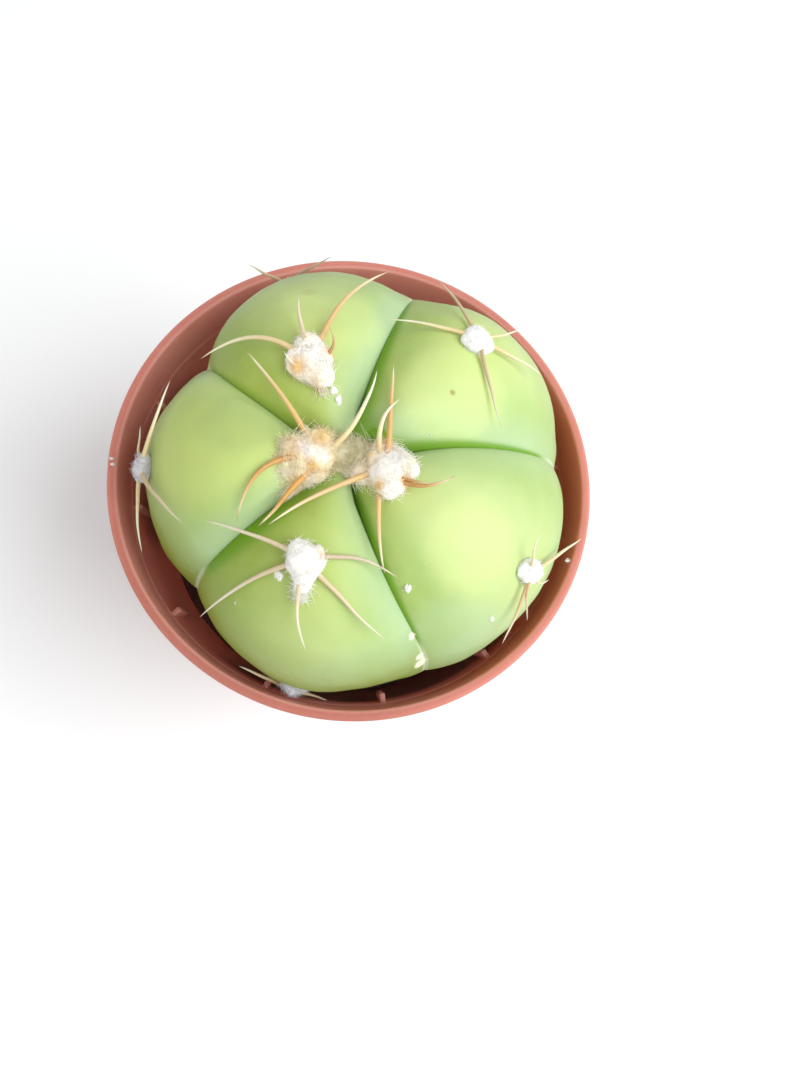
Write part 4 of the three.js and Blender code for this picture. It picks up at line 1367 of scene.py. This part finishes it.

# %% [markdown]
# ## The pot's plastic
# Terracotta-coloured plastic is slightly soft-looking and not quite even. There is a faint marbling
# from the mould, fine scuffs, a dusty bloom on the rim and lime near the foot. The inner wall is
# painted paler than the outside, which is painted light, with a warm painted reflection near the
# window, and the fins are painted clean of soil and lighter still. The inner wall has smears of dried
# soil, and painted shade makes it darker low down: in a dark stretch in front and in a gloom on the
# left, where the plant keeps the light out. Painted shade also darkens the outside at the front left.

# %% The pot's finish
plastic = Finish(
    "terracotta_plastic", IOR=1.47, Subsurface_Weight=0.6, Subsurface_Scale=0.004,
    Subsurface_Radius=(1.0, 0.8, 0.75), Specular_IOR_Level=0.35,
)
marble = plastic.noise(9, detail=3, distortion=0.8)
grain = plastic.noise(0.5, detail=3, roughness=0.65)
lime_patches = plastic.fade(plastic.noise(5, detail=5), 0.5, 0.75)
specks = plastic.fade(plastic.noise(0.8, detail=2), 0.7, 0.78)
height = plastic.node("ShaderNodeSeparateXYZ", None, {0: plastic.place()}, output=2)
flat_place = plastic.vector("MULTIPLY", plastic.place(), (1.0, 1.0, 0.0))
from_axis = plastic.vector("LENGTH", flat_place, (0.0, 0.0, 0.0), output=1)
slope = (wall_radius(LEDGE_HEIGHT - 0.1) - WALL_FOOT) / LEDGE_HEIGHT
from_wall = from_axis - height * slope - WALL_FOOT * MM
inside = 1 - plastic.fade(from_wall, 0.25 * MM, 0.6 * MM)
fin_tone = 1 - plastic.fade(from_wall, -0.5 * MM, -0.25 * MM)
deep = inside * (1 - plastic.fade(height, 36 * MM, 44 * MM))
painted_warm_reflection = plastic.near((26.0, -8.0, 44.0), 26, 0.4)
gloom = plastic.near((-24.0, 5.0, 38.0), 13, 0.4)
smears = plastic.fade(grain * 0.4 + marble * 0.6, 0.3, 0.65)
front_painted_shade = plastic.near((5.0, -25.0, 33.0), 25, 0.7) * (1 - plastic.fade(height, 39 * MM, 43 * MM))
front_outside_shade = plastic.near((-14.0, -24.0, 46.0), 26, 0.3)
bloom = plastic.fade(height, 47.2 * MM, 47.9 * MM)
near_foot = 1 - plastic.fade(height, 3 * MM, 15 * MM)
plastic.colour = plastic.mix(marble, paint(180, 96, 82), paint(192, 112, 96))
# painted light: the inner face paler and less red than the plastic outside
plastic.tint(inside * (0.3 + marble * 0.3), 204, 146, 132)
# painted reflection: the inner wall warmer near the window
plastic.tint(painted_warm_reflection * inside * 0.6, 176, 98, 60)
# painted shade: the inner wall darker low down
plastic.tint(deep * 0.1, 96, 44, 30)
plastic.tint(gloom * deep * 0.8, 58, 32, 26)
plastic.tint(smears * deep * 0.45, 150, 118, 100)
# painted shade: a dark stretch low on the inner wall in front
plastic.tint(front_painted_shade * inside * 0.85, 58, 36, 30)
# the fins clean of soil and painted lighter than the plastic outside, partly painted light
plastic.tint(fin_tone, 222, 128, 112)
# painted shade: the outside and rim darker at the front left
plastic.tint(front_outside_shade * (1 - inside) * 0.8, 160, 86, 70)
plastic.tint(bloom * grain * 0.2, 206, 146, 132)
plastic.tint(lime_patches * near_foot * 0.35, 222, 182, 168)
plastic.tint(specks * 0.3, 228, 176, 160)
plastic.surface(Base_Color=plastic.colour, Roughness=0.5 + grain * 0.2)
plastic.bump(grain, 0.03, 0.6)
dress(pot, plastic, ["pot"])

# %% [markdown]
# ## The soil
# Peaty potting mix has sunk to well under the rim. It is a plug with a rough top that dips under
# the plant, and loose chips of peat and bark lie on it.

# %% The soil's top
SOIL_TOP = 29.5
SOIL_BOTTOM = 2.9
SOIL_ROOM = 0.3
SOIL_RINGS = 90
SOIL_SIDES = 200
SOIL_RELIEF = [(0.25, 7, 1), (0.2, 2.2, 2), (0.12, 0.9, 3), (0.07, 0.45, 4)]


def globe_height(away):
    """The underside of the globe, as a height over the ground."""
    share = np.clip(away / (PLANT_RADIUS * (1 + RIB_SWELL.max())), 0, 1)
    return RIM_HEIGHT - PLANT_DROP * (1 - share**LOWER_FULLNESS) ** (1 / LOWER_FULLNESS)


def soil_height(x, y):
    """The rough top of the soil, kept below the plant and its root."""
    place = np.stack([x, y, np.zeros_like(x)], -1)
    top = relief(place, SOIL_RELIEF, SOIL_TOP)
    away = np.hypot(x - PLANT_AXIS[0], y - PLANT_AXIS[1])
    radii, depths = np.transpose(ROOT_ROWS[::-1])
    root = np.interp(away, radii + SOIL_ROOM, foot - depths - 2 * SOIL_ROOM)
    root = np.where(away < radii[-1] + SOIL_ROOM, root, RIM_HEIGHT)
    return np.minimum(top, np.minimum(root, globe_height(away) - SOIL_ROOM))


print("the soil is", RIM_HEIGHT - SOIL_TOP, "mm under the rim")

# %% The soil's mesh
soil_radius = wall_radius(SOIL_TOP) - SOIL_ROOM
out = soil_radius * np.linspace(0, 1, SOIL_RINGS + 1)[1:, None] ** 0.85
turn = 2 * np.pi * np.arange(SOIL_SIDES) / SOIL_SIDES
east, north = out * np.cos(turn), out * np.sin(turn)
top_rings = np.stack([east, north, soil_height(east, north)], -1)
bottom_out = wall_radius(SOIL_BOTTOM) - SOIL_ROOM
bottom_ring = np.stack([bottom_out * np.cos(turn), bottom_out * np.sin(turn), 0 * turn + SOIL_BOTTOM], -1)
middle = [[0.0, 0.0, float(soil_height(np.array(0.0), np.array(0.0)))]]
bottom = [[0.0, 0.0, SOIL_BOTTOM]]
soil_points = np.concatenate([middle, top_rings.reshape(-1, 3), bottom_ring, bottom])
soil_faces = fan_faces(0, 1, SOIL_SIDES) + grid_faces(SOIL_RINGS + 1, SOIL_SIDES, 1)
last_ring = 1 + SOIL_RINGS * SOIL_SIDES
soil_faces += fan_faces(len(soil_points) - 1, last_ring, SOIL_SIDES, outward=False)
plug = Shells()
plug.add(soil_points, soil_faces)
print("the soil has", len(soil_points), "points")

# %% The soil's finish
peat = Finish("peat_mix", Roughness=0.95)
crumbs = peat.noise(0.9, detail=5, roughness=0.7)
peat.colour = peat.mix(peat.fade(crumbs, 0.35, 0.7), paint(44, 33, 27), paint(88, 66, 50))
peat.tint(peat.fade(peat.noise(0.7, detail=1), 0.68, 0.74) * 0.4, 128, 112, 94)
peat.tint(peat.near((-19.0, -15.0, SOIL_TOP), 13, 0.6) * 0.8, 112, 68, 56)
peat.surface(Base_Color=peat.colour)
peat.bump(crumbs, 0.25, 0.9)
make_piece("soil_plug", plug, peat, ["soil"])

# %% Chips on the soil
CHIP_COUNT = 420
CHIP_SIZES = [0.35, 0.55, 0.9, 1.4]
SIZE_SHARES = [0.35, 0.35, 0.2, 0.1]
CHIP_FORM = [1, 0.7, 0.45]
CHIP_STRETCH = (0.35, 1.0)
CHIP_ROUGHNESS = (0.7, 1.15)
CHIP_TILT = 0.35
CHIP_SEAT = 0.3
CHIP_SHARP_FROM = math.radians(30)
CHIP_SEED = 12
ROOT_CLEARANCE = 10
chip_points, chip_faces = ball(1)
random = np.random.default_rng(CHIP_SEED)
chips = Shells()
while len(chips.points) < CHIP_COUNT:
    out = soil_radius * math.sqrt(random.random())
    angle = random.uniform(0, 2 * math.pi)
    x, y = out * math.cos(angle), out * math.sin(angle)
    size = random.choice(CHIP_SIZES, p=SIZE_SHARES)
    away = math.hypot(x - PLANT_AXIS[0], y - PLANT_AXIS[1])
    top = float(soil_height(np.array(x), np.array(y)))
    buried = top + size > globe_height(away - size) or away < ROOT_CLEARANCE + size
    if buried or out > soil_radius - size:
        continue
    stretch = size * random.uniform(*CHIP_STRETCH, 3) * CHIP_FORM
    corners = chip_points * random.uniform(*CHIP_ROUGHNESS, (len(chip_points), 1)) * stretch
    spin = Matrix.Rotation(random.uniform(0, 2 * math.pi), 3, "Z")
    spin = spin @ Matrix.Rotation(random.normal(0, CHIP_TILT), 3, "X")
    chips.add(corners @ np.array(spin).T + [x, y, top + CHIP_SEAT * stretch[2]], chip_faces)
chip_piece = make_piece("soil_chips", chips, peat)
chip_piece.data.set_sharp_from_angle(angle=CHIP_SHARP_FROM)

# %% [markdown]
# ## The room
# The object stands on a plain pale floor. The photo was taken by a window on the right, with
# bright sky all round, so one large soft light stands high on the right, a weaker one fills from
# the left, and the sky is nearly white.

# %% Floor and sky
FLOOR_REACH = 2000.0
SKY_COLOUR = (0.97, 0.985, 1.0, 1.0)
SKY_STRENGTH = 0.52
GAMMA = 1.12
bpy.context.scene.view_settings.view_transform = "Standard"
bpy.context.scene.view_settings.gamma = GAMMA
floor_finish = Finish("pale_floor", Roughness=0.7)
floor_grain = floor_finish.noise(40, detail=4)
floor_finish.colour = floor_finish.mix(floor_grain, paint(246, 245, 243), paint(252, 251, 250))
floor_finish.surface(Base_Color=floor_finish.colour)
corners = np.array([(-1, -1, 0), (1, -1, 0), (1, 1, 0), (-1, 1, 0)]) * FLOOR_REACH
floor = bare_mesh("floor", corners, [(0, 1, 2, 3)])
floor.data.materials.append(floor_finish.material)
world = bpy.data.worlds.new("bright_sky")
world.use_nodes = True
sky = world.node_tree.nodes["Background"].inputs
sky["Color"].default_value = SKY_COLOUR
sky["Strength"].default_value = SKY_STRENGTH
bpy.context.scene.world = world
print("the floor is", 2 * FLOOR_REACH * MM, "m wide")

# %% Lights
LIGHTS = [
    # name, place and side in metres, watts and colour
    ("window", (0.26, -0.08, 0.36), 0.36, 2.2, (0.95, 1.0, 1.02)),
    ("fill", (-0.30, -0.25, 0.35), 0.4, 0.5, (0.95, 0.98, 1.0)),
]


def soft_light(name, place, size, watts, colour):
    """A square light panel that faces the plant."""
    data = bpy.data.lights.new(name, "AREA")
    data.size = size
    data.energy = watts
    data.color = colour
    lamp = bpy.data.objects.new(name, data)
    back = unit(np.array(place) - [0, 0, RIM_HEIGHT * MM])
    across = unit(np.cross([0.0, 0.0, 1.0], back))
    aim = Matrix((across, np.cross(back, across), back)).transposed().to_4x4()
    lamp.matrix_world = Matrix.Translation(place) @ aim
    bpy.context.collection.objects.link(lamp)


for light in LIGHTS:
    soft_light(*light)
print("lights:", [lamp.name for lamp in bpy.data.lights])
